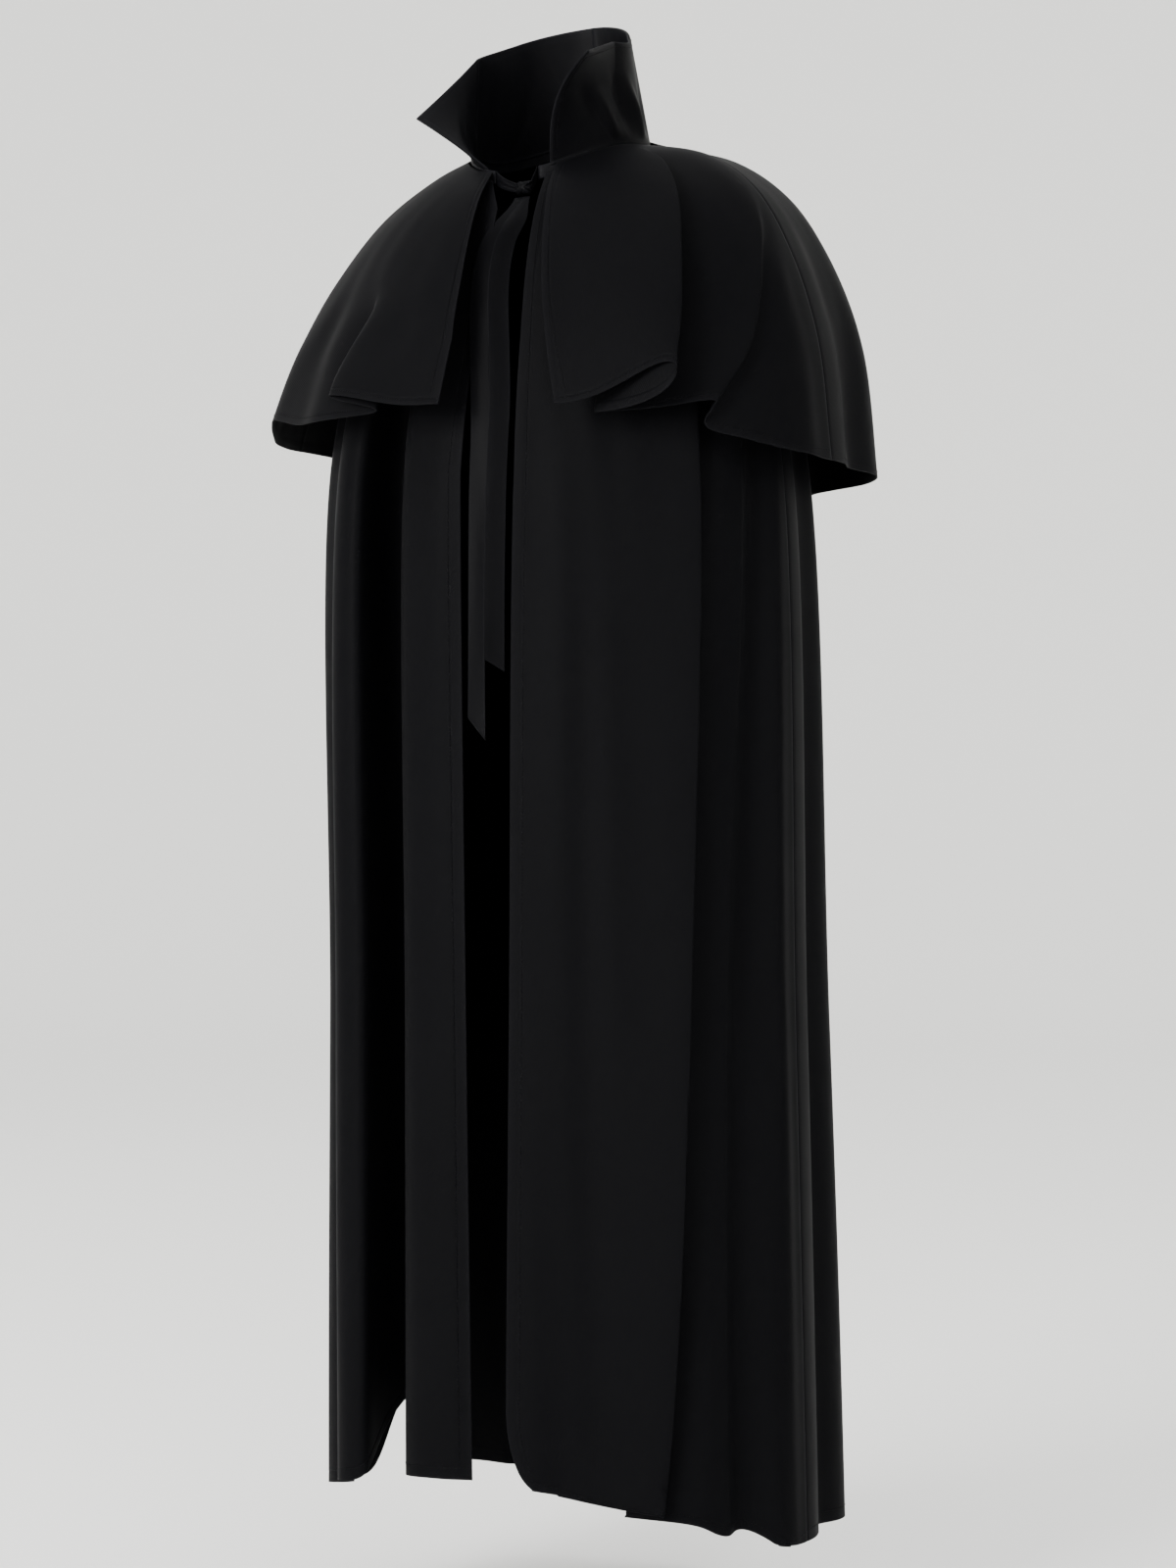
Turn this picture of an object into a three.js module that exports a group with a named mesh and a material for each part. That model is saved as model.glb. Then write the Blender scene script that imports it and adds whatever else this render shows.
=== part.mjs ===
// A floor-length cape: body, shoulder capelet, stand-up collar and ribbon ties.
// Millimetres, +Z up. The origin is the centre of the neck opening at the height of the
// neck seam's sides. The wearer faces -Y and the wearer's left is +X.
// An azimuth is counted in degrees from the front (-Y) towards the wearer's left (+X).

import * as THREE from 'three';

// ---------------------------------------------------------------- driving dimensions

const CLOTH = 2.4;              // wall of the body and capelet solids
const SEAM_GAP = 0.5;           // space left between two sewn edges
const NECK_RADIUS = 88;         // middle of the neckband
const NECK_FRONT_Z = -34;       // the neck seam dips at the front
const NECK_BACK_Z = 30;         // and climbs at the back

const BAND_WALL = 2.4;          // neckband, the tape that every layer is sewn to
const BAND_ABOVE = 6;
const BAND_BELOW = 7;
const BAND_END = 16;            // azimuth where each end of the band stops
const BAND_REACH = NECK_RADIUS * Math.sin(THREE.MathUtils.degToRad(BAND_END));

// Each profile runs from the neck to the hem as [distance from the axis, height].
// The body's rings: neck, collarbone, shoulder, armhole, chest, knee, hem.
const BODY_START = NECK_RADIUS + BAND_WALL / 2 + 0.4 + CLOTH;
const BODY_HEM_Z = { left: -1352, right: -1346, front: -1292, back: -1362 };
const BODY_LEFT = [[BODY_START, -4], [138, -30], [178, -76], [210, -150], [246, -300],
  [263, -860], [275, BODY_HEM_Z.left]];
const BODY_RIGHT = [[BODY_START, -4], [138, -30], [178, -76], [210, -150], [247, -300],
  [245, -860], [244, BODY_HEM_Z.right]];
const BODY_FRONT = [[BODY_START, NECK_FRONT_Z - 4], [112, -68], [132, -120], [150, -200],
  [164, -330], [168, -860], [168, BODY_HEM_Z.front]];
const BODY_BACK = [[BODY_START, NECK_BACK_Z - 4], [124, 6], [150, -44], [176, -140],
  [202, -310], [228, -860], [246, BODY_HEM_Z.back]];

// The capelet's rings: neck, collarbone, shoulder, upper arm, elbow, hem.
const CAPELET_START = BODY_START;
const CAPELET_HEM_Z = { left: -318, right: -278, front: -268, back: -336 };
const CAPELET_LEFT = [[CAPELET_START, 3], [168, -14], [218, -50], [256, -112], [286, -200],
  [301, CAPELET_HEM_Z.left]];
const CAPELET_RIGHT = [[CAPELET_START, 3], [126, -12], [186, -50], [236, -108], [280, -180],
  [318, CAPELET_HEM_Z.right]];
const CAPELET_FRONT = [[CAPELET_START, NECK_FRONT_Z + 4], [122, -58], [150, -100], [175, -150],
  [195, -205], [214, CAPELET_HEM_Z.front]];
const CAPELET_BACK = [[CAPELET_START, NECK_BACK_Z + 4], [158, 18], [208, -20], [233, -85],
  [244, -190], [242, CAPELET_HEM_Z.back]];
const BACK_FULLNESS = 0.08;     // how far the capelet's back corners stand out of the oval

// Front edges, as distances from the centre line: the body's at each of its rings, and the
// capelet's at each of its own. Both start beside the ends of the neckband.
const BODY_EDGE = {
  left: [BAND_REACH + 9.7, 37, 39, 42, 44, 41, 38],
  right: [BAND_REACH + 1.7, 8, 6, 9, 16, 8, 1],
};
const CAPELET_EDGE = {
  left: [BAND_REACH + 19.7, 54, 65, 77, 90, 103],
  right: [BAND_REACH + 3.7, 21, 15, 9, 7, 9],
};

// Where the moving lower pieces part from the fixed upper ones, as a ring position.
const FRONT_SPLIT = 4.14;
const FLAP_SPLIT = 3;

// Folds of the body: azimuth, half width in degrees, and depth at the hem.
const BODY_FOLDS = [
  [-112, 8, 12], [-72, 8, 11], [-48, 7, 12], [-36, 7, -24], [-22, 8, 6],
  [26, 9, -7], [47, 5, -12], [55, 6, 10], [67, 6, -12], [79, 5, 8],
  [104, 8, -12], [122, 8, 12], [141, 8, -12], [160, 8, 12], [180, 9, -12], [-180, 9, -12],
  [-160, 8, 12], [-136, 8, -12],
];
const SEAM_AZIMUTH = 90;        // side seams of the body and shoulder seams of the capelet
const SEAM_CALM = 8;            // folds die out this many degrees from a side seam
const FOLD_START = 2;           // ring where the folds begin

// Flutes of the capelet's hem.
const CAPELET_FLUTES = [
  [-118, 12, 8], [-64, 9, 8], [-38, 8, -9], [-20, 8, 5], [44, 7, 9], [56, 6, -9],
  [74, 7, 8], [112, 12, -8], [136, 12, 9], [160, 12, -8], [-160, 12, 9], [-138, 12, -8],
];

const COLLAR = {
  foldAzimuth: 68,              // where each wing bends away from the back
  frontAzimuth: 24,             // where the collar stops at the front
  topRadius: NECK_RADIUS - 3,   // of the top edge at the bend lines
  backRadius: NECK_RADIUS - 20, // and round the back, where the collar leans in
  leanShare: 0.45,              // share of the way to the centre back where it's leant in
  rise: { left: 1.7, right: 1 },  // above 1, that side climbs later towards the back
  kinkZ: 100,
  backZ: 143,
  lift: 0.5,                    // space over the neckband, at the back
  wingLift: 2.2,                // and under the leaning wings
  foldGap: 1.6,                 // each side of the bend line
};
const WING_TIP = {
  left: new THREE.Vector3(NECK_RADIUS + 11, -NECK_RADIUS - 27, 71),
  right: new THREE.Vector3(-NECK_RADIUS - 13, -NECK_RADIUS - 13, 30),
};
// Collar layers from the neck outwards, as distances from the middle of the collar.
const COLLAR_LAYERS = { inner: [-2, -0.8], stiffener: [-0.4, 0.4], outer: [0.8, 2] };

const TIE = {
  width: 20,
  wall: 1.2,
  leadHeight: 14,
  leadStart: 1.2,               // space between the neckband's end and each lead
  leadSlack: 3,                 // how far a long lead bows forward
  leadBowFrom: 20,              // a lead shorter than this bows less
  leadPinch: 3,                 // how much lower than the knot a lead ends
  knot: new THREE.Vector3(17, -NECK_RADIUS - 10, NECK_FRONT_Z - 14),
  knotHalf: [8.5, 5.6, 6.6],
  tailDrop: 9.5,                // from the knot's centre to the top of each tail
  gap: 1.2,                     // space between the knot and each lead
  runOut: 300,                  // straight fall added below the last point of the route
  gathered: 14,                 // width of each tail as it leaves the knot
  spread: 70,                   // distance over which a tail opens to its full width
};
// Each tail hangs over the chest: [forward of the knot, below the knot].
const TAIL_ROUTE = [[4, 0], [38, 58], [58, 150], [71, 250], [76, 350]];
const TAILS = {
  right: { start: 9, across: 9, turn: 0, length: 530 },
  left: { start: 27, across: 29, turn: 36, length: 470 },
};

const COLOURS = {
  cloth: { color: 0x0b0b0d, roughness: 0.82, metalness: 0 },
  stiffener: { color: 0x1c1c1f, roughness: 0.9, metalness: 0 },
  ribbon: { color: 0x0d0d0f, roughness: 0.55, metalness: 0 },
};

// ---------------------------------------------------------------- helpers

const cape = new THREE.Group();
const rad = THREE.MathUtils.degToRad;
const lerp = THREE.MathUtils.lerp;

function finish(name) {
  return new THREE.MeshStandardMaterial(COLOURS[name]);
}

function addMesh(name, geometry, material) {
  const mesh = new THREE.Mesh(geometry, finish(material));
  mesh.name = name;
  cape.add(mesh);
  return mesh;
}

// A smooth curve through a profile's rings; ring may be any number between them.
function profileCurve(points) {
  const curve = new THREE.CatmullRomCurve3(points.map(([out, z]) => new THREE.Vector3(out, 0, z)));
  const last = points.length - 1;
  return (ring) => curve.getPoint(THREE.MathUtils.clamp(ring / last, 0, 1));
}

// Sum of soft bumps over a list of folds, at an azimuth.
function foldSum(folds, azimuth) {
  return folds.reduce((sum, [centre, half, depth]) => {
    const away = (azimuth - centre) / half;
    return sum + depth * Math.exp(-away * away);
  }, 0);
}

// 1 everywhere but at the side seams, where it is 0.
function seamCalm(azimuth) {
  const away = (Math.abs(azimuth) - SEAM_AZIMUTH) / SEAM_CALM;
  return 1 - Math.exp(-away * away);
}

// A point on a layer that hangs round the neck axis. The side, front and back profiles are
// joined as quarter ovals, and bulge moves the point straight outwards.
function hang(profiles, azimuth, ring, bulge, fullness = 0) {
  const sine = Math.sin(rad(azimuth));
  const cosine = Math.cos(rad(azimuth));
  const side = (sine >= 0 ? profiles.left : profiles.right)(ring);
  const end = (cosine >= 0 ? profiles.front : profiles.back)(ring);
  const doubled = Math.sin(rad(2 * azimuth));
  const swell = cosine < 0 ? 1 + fullness * doubled * doubled : 1;
  const x = side.x * sine * swell;
  const y = -end.x * cosine * swell;
  const z = lerp(side.z, end.z, cosine * cosine);
  const out = Math.hypot(x, y);
  return new THREE.Vector3(x + bulge * x / out, y + bulge * y / out, z);
}

// Direction straight out of a surface, from two small steps over it.
function surfaceNormal(surface, u, v) {
  const step = 1e-3;
  const u0 = Math.max(u - step, 0);
  const u1 = Math.min(u + step, 1);
  const v0 = Math.max(v - step, 0);
  const v1 = Math.min(v + step, 1);
  const along = surface(u1, v).sub(surface(u0, v));
  const down = surface(u, v1).sub(surface(u, v0));
  return down.cross(along).normalize();
}

// A closed sheet between two offsets of a surface. columns and rows are lists of u and v.
function sheet(surface, columns, rows, from, to) {
  const wide = columns.length;
  const tall = rows.length;
  const points = [];
  for (const offset of [to, from]) {
    for (const v of rows) {
      for (const u of columns) {
        const normal = surfaceNormal(surface, u, v);
        points.push(surface(u, v).addScaledVector(normal, offset));
      }
    }
  }
  const at = (side, row, column) => side * wide * tall + row * wide + column;
  const faces = [];
  const quad = (a, b, c, d) => faces.push([a, b, c], [a, c, d]);
  for (let row = 0; row < tall - 1; row += 1) {
    for (let column = 0; column < wide - 1; column += 1) {
      quad(at(0, row, column), at(0, row + 1, column), at(0, row + 1, column + 1),
        at(0, row, column + 1));
      quad(at(1, row, column), at(1, row, column + 1), at(1, row + 1, column + 1),
        at(1, row + 1, column));
    }
  }
  for (let column = 0; column < wide - 1; column += 1) {
    quad(at(0, 0, column), at(0, 0, column + 1), at(1, 0, column + 1), at(1, 0, column));
    quad(at(0, tall - 1, column + 1), at(0, tall - 1, column), at(1, tall - 1, column),
      at(1, tall - 1, column + 1));
  }
  for (let row = 0; row < tall - 1; row += 1) {
    quad(at(0, row + 1, 0), at(0, row, 0), at(1, row, 0), at(1, row + 1, 0));
    quad(at(0, row, wide - 1), at(0, row + 1, wide - 1), at(1, row + 1, wide - 1),
      at(1, row, wide - 1));
  }
  return solid(points, faces);
}

// A geometry from points and triangles, turned so that its faces point out.
function solid(points, faces) {
  const volume = faces.reduce((sum, [a, b, c]) =>
    sum + points[a].dot(points[b].clone().cross(points[c])), 0);
  const ordered = volume < 0 ? faces.map(([a, b, c]) => [a, c, b]) : faces;
  const geometry = new THREE.BufferGeometry();
  geometry.setAttribute('position', new THREE.Float32BufferAttribute(
    points.flatMap((point) => [point.x, point.y, point.z]), 3));
  geometry.setIndex(ordered.flat());
  geometry.computeVertexNormals();
  return geometry;
}

function evenly(count) {
  return Array.from({ length: count + 1 }, (_, index) => index / count);
}

// Evenly spaced rings from first to last.
function ringRows(first, last, steps) {
  return evenly(steps).map((share) => lerp(first, last, share));
}

// ---------------------------------------------------------------- the cape's surfaces

const bodyProfiles = {
  left: profileCurve(BODY_LEFT),
  right: profileCurve(BODY_RIGHT),
  front: profileCurve(BODY_FRONT),
  back: profileCurve(BODY_BACK),
};
const capeletProfiles = {
  left: profileCurve(CAPELET_LEFT),
  right: profileCurve(CAPELET_RIGHT),
  front: profileCurve(CAPELET_FRONT),
  back: profileCurve(CAPELET_BACK),
};
const BODY_HEM = BODY_LEFT.length - 1;
const CAPELET_HEM = CAPELET_LEFT.length - 1;

function bodyPoint(azimuth, ring) {
  const grown = THREE.MathUtils.smoothstep(ring, FOLD_START, BODY_HEM);
  const bulge = foldSum(BODY_FOLDS, azimuth) * seamCalm(azimuth) * grown;
  return hang(bodyProfiles, azimuth, ring, bulge);
}

function capeletPoint(azimuth, ring) {
  const grown = THREE.MathUtils.smoothstep(ring, 1, CAPELET_HEM);
  const bulge = foldSum(CAPELET_FLUTES, azimuth) * seamCalm(azimuth) * grown;
  return hang(capeletProfiles, azimuth, ring, bulge, BACK_FULLNESS);
}

function neckZ(azimuth) {
  const cosine = Math.cos(rad(azimuth));
  return (cosine >= 0 ? NECK_FRONT_Z : NECK_BACK_Z) * cosine * cosine;
}

function neckPoint(azimuth, radius, above) {
  return new THREE.Vector3(radius * Math.sin(rad(azimuth)), -radius * Math.cos(rad(azimuth)),
    neckZ(azimuth) + above);
}

// Azimuth at which a layer is a given distance from the centre line.
function azimuthAt(profiles, side, ring, distance) {
  return THREE.MathUtils.radToDeg(Math.asin(distance / profiles[side](ring).x));
}

// A front edge's distance from the centre line, between the values listed at each ring.
function edgeDistance(edges, ring) {
  const from = Math.min(Math.floor(ring), edges.length - 2);
  return lerp(edges[from], edges[from + 1], ring - from);
}

function bodyEdge(side, ring) {
  return azimuthAt(bodyProfiles, side, ring, edgeDistance(BODY_EDGE[side], ring));
}

function capeletEdge(side, ring) {
  return azimuthAt(capeletProfiles, side, ring, edgeDistance(CAPELET_EDGE[side], ring));
}

// Half of a seam's gap as an azimuth, at a distance from the axis.
function gapAngle(distance, gap = SEAM_GAP / 2) {
  return THREE.MathUtils.radToDeg(gap / distance);
}

// ---------------------------------------------------------------- body

function buildBack(side, sign) {
  const surface = (u, v) => {
    const ring = v * BODY_HEM;
    const reach = bodyProfiles[side](ring).x;
    const first = SEAM_AZIMUTH + gapAngle(reach);
    const last = 180 - gapAngle(bodyProfiles.back(ring).x);
    return bodyPoint(sign * lerp(first, last, u), ring);
  };
  const rows = [...ringRows(0, 4, 6), 4.5, 5, 5.5, BODY_HEM].map((ring) => ring / BODY_HEM);
  addMesh(`back_${side}`, sheet(surface, evenly(18), rows, ...wallOffsets(sign)), 'cloth');
}

// The two offsets of a wall that lies inside its surface. A surface that runs the other way
// round the body has its direction turned, so the sign follows the side.
function wallOffsets(sign) {
  return sign > 0 ? [-CLOTH, 0] : [0, CLOTH];
}

function frontSurface(side, sign) {
  return (u, ring) => {
    const reach = bodyProfiles[side](ring).x;
    const first = bodyEdge(side, ring);
    const last = SEAM_AZIMUTH - gapAngle(reach);
    return bodyPoint(sign * lerp(first, last, u), ring);
  };
}

function buildFront(side, sign) {
  const surface = frontSurface(side, sign);
  const pieces = [
    ['upper', 0, FRONT_SPLIT - 0.004, 7],
    ['lower', FRONT_SPLIT, BODY_HEM, 6],
  ];
  for (const [part, first, last, steps] of pieces) {
    const patch = (u, v) => surface(u, lerp(first, last, v));
    addMesh(`front_${side}_${part}`,
      sheet(patch, evenly(18), evenly(steps), ...wallOffsets(sign)), 'cloth');
  }
}

// ---------------------------------------------------------------- capelet

function buildCapeletBack() {
  const surface = (u, v) => {
    const ring = v * CAPELET_HEM;
    const first = SEAM_AZIMUTH + gapAngle(capeletProfiles.left(ring).x);
    const last = 360 - SEAM_AZIMUTH - gapAngle(capeletProfiles.right(ring).x);
    const azimuth = lerp(first, last, u);
    return capeletPoint(azimuth > 180 ? azimuth - 360 : azimuth, ring);
  };
  addMesh('capelet_back', sheet(surface, evenly(28), evenly(8), ...wallOffsets(1)), 'cloth');
}

function buildCapeletFront(side, sign) {
  const pieces = [
    ['yoke', 0, FLAP_SPLIT - 0.012, 5],
    ['flap', FLAP_SPLIT, CAPELET_HEM, 4],
  ];
  for (const [part, first, last, steps] of pieces) {
    const surface = (u, v) => {
      const ring = lerp(first, last, v);
      const seam = SEAM_AZIMUTH - gapAngle(capeletProfiles[side](ring).x);
      return capeletPoint(sign * lerp(capeletEdge(side, ring), seam, u), ring);
    };
    addMesh(`capelet_${side}_${part}`,
      sheet(surface, evenly(14), evenly(steps), ...wallOffsets(sign)), 'cloth');
  }
}

// ---------------------------------------------------------------- neckband and collar

function buildNeckband() {
  const surface = (u, v) => {
    const azimuth = lerp(BAND_END, 360 - BAND_END, u);
    return neckPoint(azimuth, NECK_RADIUS, lerp(BAND_ABOVE, -BAND_BELOW, v));
  };
  const half = BAND_WALL / 2;
  addMesh('neckband', sheet(surface, evenly(40), evenly(1), -half, half), 'cloth');
}

function collarBase(azimuth, lift) {
  return neckPoint(azimuth, NECK_RADIUS, BAND_ABOVE + lift);
}

function collarTop(azimuth) {
  const round = (Math.abs(azimuth) - COLLAR.foldAzimuth) / (180 - COLLAR.foldAzimuth);
  const slow = COLLAR.rise[azimuth > 0 ? 'left' : 'right'];
  const rise = Math.sin(round * Math.PI / 2) ** slow;
  const lean = THREE.MathUtils.smoothstep(round, 0, COLLAR.leanShare);
  const top = neckPoint(azimuth, lerp(COLLAR.topRadius, COLLAR.backRadius, lean), 0);
  top.z = lerp(COLLAR.kinkZ, COLLAR.backZ, rise);
  return top;
}

function collarBackSurface(u, v) {
  const first = COLLAR.foldAzimuth + gapAngle(NECK_RADIUS, COLLAR.foldGap);
  const azimuth = lerp(first, 360 - first, u);
  const signed = azimuth > 180 ? azimuth - 360 : azimuth;
  return collarTop(signed).lerp(collarBase(signed, COLLAR.lift), v);
}

function wingSurface(side, sign) {
  const fold = COLLAR.foldAzimuth - gapAngle(NECK_RADIUS, COLLAR.foldGap);
  const kink = collarTop(sign * COLLAR.foldAzimuth);
  const start = kink.clone().lerp(WING_TIP[side], COLLAR.foldGap / kink.distanceTo(WING_TIP[side]));
  return (u, v) => {
    const top = start.clone().lerp(WING_TIP[side], 1 - u);
    const base = collarBase(sign * lerp(COLLAR.frontAzimuth, fold, u), COLLAR.wingLift);
    return top.lerp(base, v);
  };
}

function buildCollar() {
  for (const [layer, [from, to]] of Object.entries(COLLAR_LAYERS)) {
    const material = layer === 'stiffener' ? 'stiffener' : 'cloth';
    addMesh(`collar_${layer}`, sheet(collarBackSurface, evenly(22), evenly(2), from, to), material);
    for (const [side, sign] of [['left', 1], ['right', -1]]) {
      const offsets = sign > 0 ? [from, to] : [-to, -from];
      addMesh(`collar_${layer}_wing_${side}`,
        sheet(wingSurface(side, sign), evenly(6), evenly(4), ...offsets), material);
    }
  }
}

// ---------------------------------------------------------------- ties

function buildKnot() {
  const profile = evenly(8).map((share) => new THREE.Vector2(
    share === 0 || share === 1 ? 0 : Math.sin(share * Math.PI), -Math.cos(share * Math.PI)));
  const geometry = new THREE.LatheGeometry(profile, 12);
  geometry.scale(TIE.knotHalf[0], TIE.knotHalf[2], TIE.knotHalf[1]);
  geometry.rotateX(Math.PI / 2);
  const knot = addMesh('tie_knot', geometry, 'ribbon');
  knot.position.copy(TIE.knot);
}

// The short run of ribbon from one end of the neckband to the knot.
function buildLead(side, sign) {
  const middle = (BAND_ABOVE - BAND_BELOW) / 2;
  const start = neckPoint(sign * (BAND_END - gapAngle(NECK_RADIUS, TIE.leadStart)), NECK_RADIUS,
    middle);
  const reach = TIE.knot.clone();
  reach.x += sign * (TIE.knotHalf[0] + TIE.gap);
  const bow = TIE.leadSlack * Math.min(1, Math.abs(start.x - reach.x) / TIE.leadBowFrom);
  const surface = (u, v) => {
    const point = start.clone().lerp(reach, u);
    const height = lerp(TIE.leadHeight, 2 * TIE.knotHalf[2] - TIE.leadPinch, u);
    point.z += lerp(height / 2, -height / 2, v);
    point.y -= bow * Math.sin(u * Math.PI);
    return point;
  };
  const half = TIE.wall / 2;
  addMesh(`tie_lead_${side}`, sheet(surface, evenly(4), evenly(1), -half, half), 'ribbon');
}

function tailCurve(length) {
  const scale = length / TAIL_ROUTE.at(-1)[1];
  const points = TAIL_ROUTE.map(([forward, below]) => new THREE.Vector3(0,
    TIE.knot.y - forward, TIE.knot.z - TIE.tailDrop - below));
  const last = points.at(-1);
  points.push(new THREE.Vector3(0, last.y, last.z - TIE.runOut * Math.max(scale, 1)));
  return new THREE.CatmullRomCurve3(points);
}

function buildTail(side) {
  const { start, across, turn, length } = TAILS[side];
  const curve = tailCurve(length);
  const whole = curve.getLength();
  const surface = (u, v) => {
    const point = curve.getPointAt(v * length / whole);
    const open = Math.min(1, v * length / TIE.spread);
    const half = lerp(TIE.gathered, TIE.width, open) / 2;
    const offset = lerp(-half, half, u);
    point.x = lerp(start, across, open) + offset * Math.cos(rad(turn * open));
    point.y += offset * Math.sin(rad(turn * open));
    return point;
  };
  addMesh(`tie_${side}`, sheet(surface, [0, 1], evenly(16), -TIE.wall / 2, TIE.wall / 2), 'ribbon');
}

// ---------------------------------------------------------------- assembly

for (const [side, sign] of [['left', 1], ['right', -1]]) {
  buildBack(side, sign);
  buildFront(side, sign);
  buildCapeletFront(side, sign);
  buildLead(side, sign);
  buildTail(side);
}
buildCapeletBack();
buildNeckband();
buildCollar();
buildKnot();

export default cape;
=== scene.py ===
"""A floor-length evening cape: body, shoulder capelet, stand-up collar and ribbon ties.

Everything is in metres in the part's own frame: +Z up, the wearer faces -Y, and the
wearer's left is +X. An azimuth is counted in degrees from the front towards the left.
"""

import logging  # noqa: E402
import math  # noqa: E402
from collections.abc import Callable, Sequence  # noqa: E402
from dataclasses import dataclass, field  # noqa: E402
from enum import Enum  # noqa: E402

import bmesh  # noqa: E402
import bpy  # noqa: E402
import numpy as np  # noqa: E402
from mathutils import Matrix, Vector  # noqa: E402


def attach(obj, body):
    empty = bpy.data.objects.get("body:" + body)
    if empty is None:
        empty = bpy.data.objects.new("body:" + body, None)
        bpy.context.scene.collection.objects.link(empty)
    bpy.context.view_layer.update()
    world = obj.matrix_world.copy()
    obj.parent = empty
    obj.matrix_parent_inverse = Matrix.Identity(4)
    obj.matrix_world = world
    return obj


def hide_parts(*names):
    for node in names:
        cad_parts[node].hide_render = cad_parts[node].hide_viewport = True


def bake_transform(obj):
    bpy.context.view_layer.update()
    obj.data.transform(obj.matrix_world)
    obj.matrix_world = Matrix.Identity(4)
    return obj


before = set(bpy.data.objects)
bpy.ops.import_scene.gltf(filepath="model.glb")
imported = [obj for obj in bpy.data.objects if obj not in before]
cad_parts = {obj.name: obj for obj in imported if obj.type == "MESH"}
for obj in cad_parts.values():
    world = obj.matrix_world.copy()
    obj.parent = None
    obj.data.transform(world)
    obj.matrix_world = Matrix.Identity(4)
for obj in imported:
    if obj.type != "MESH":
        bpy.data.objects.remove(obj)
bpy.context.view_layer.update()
MM = 0.001
STITCH_INSET = 2.5 * MM         # from a hem's fold line to its row of stitches
SEAM_CALM = 8.0                 # folds die out this many degrees from a side seam
LOG = logging.getLogger("cape")

Array = np.ndarray
Surface = Callable[[Array, Array], Array]


class Side(Enum):
    """The wearer's side, as the sign of X."""

    LEFT = 1
    RIGHT = -1

    @property
    def word(self) -> str:
        """The side's name, as the nodes and bodies spell it."""
        return self.name.lower()


# ------------------------------------------------------------------ small helpers


def linear(hex_colour: str) -> tuple[float, float, float, float]:
    """Turns an sRGB hex colour into a linear colour.

    Args:
        hex_colour: six hex digits, such as "0b0b0d".

    Returns:
        Red, green, blue and an alpha of 1.
    """
    parts = [int(hex_colour[i:i + 2], 16) / 255 for i in (0, 2, 4)]
    return (*[p / 12.92 if p <= 0.04045 else ((p + 0.055) / 1.055) ** 2.4 for p in parts], 1.0)


def smooth(share: Array) -> Array:
    """Eases a share from 0 to 1 with flat ends."""
    share = np.clip(share, 0, 1)
    return share * share * (3 - 2 * share)


def turn_out(azimuth: Array) -> tuple[Array, Array]:
    """Gives the sine and cosine of an azimuth in degrees."""
    return np.sin(np.radians(azimuth)), np.cos(np.radians(azimuth))


def deselect_all() -> None:
    """Leaves nothing selected, because an operator acts on all that is."""
    bpy.ops.object.select_all(action="DESELECT")


def settle(piece: bpy.types.Object) -> None:
    """Puts a primitive's place into its mesh, so that its object sits at the origin.

    Args:
        piece: the object to settle.
    """
    deselect_all()
    piece.select_set(True)
    bpy.context.view_layer.objects.active = piece
    bpy.ops.object.transform_apply(location=True, rotation=True, scale=True)


# ------------------------------------------------------------------ finishes


def add_node(tree: bpy.types.NodeTree, kind: str, settings: dict | None = None,
             links: dict | None = None) -> bpy.types.Node:
    """Adds a shader node, sets it up and links what feeds it.

    Args:
        tree: the material's node tree.
        kind: the node's type name.
        settings: attributes and input values, by name or input number.
        links: what feeds each input, as an output socket, by name or input number.

    Returns:
        The new node.
    """
    node = tree.nodes.new(kind)
    for key, value in (settings or {}).items():
        if isinstance(key, str) and hasattr(node, key):
            setattr(node, key, value)
        else:
            node.inputs[key].default_value = value
    for key, source in (links or {}).items():
        tree.links.new(source, node.inputs[key])
    return node


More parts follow.
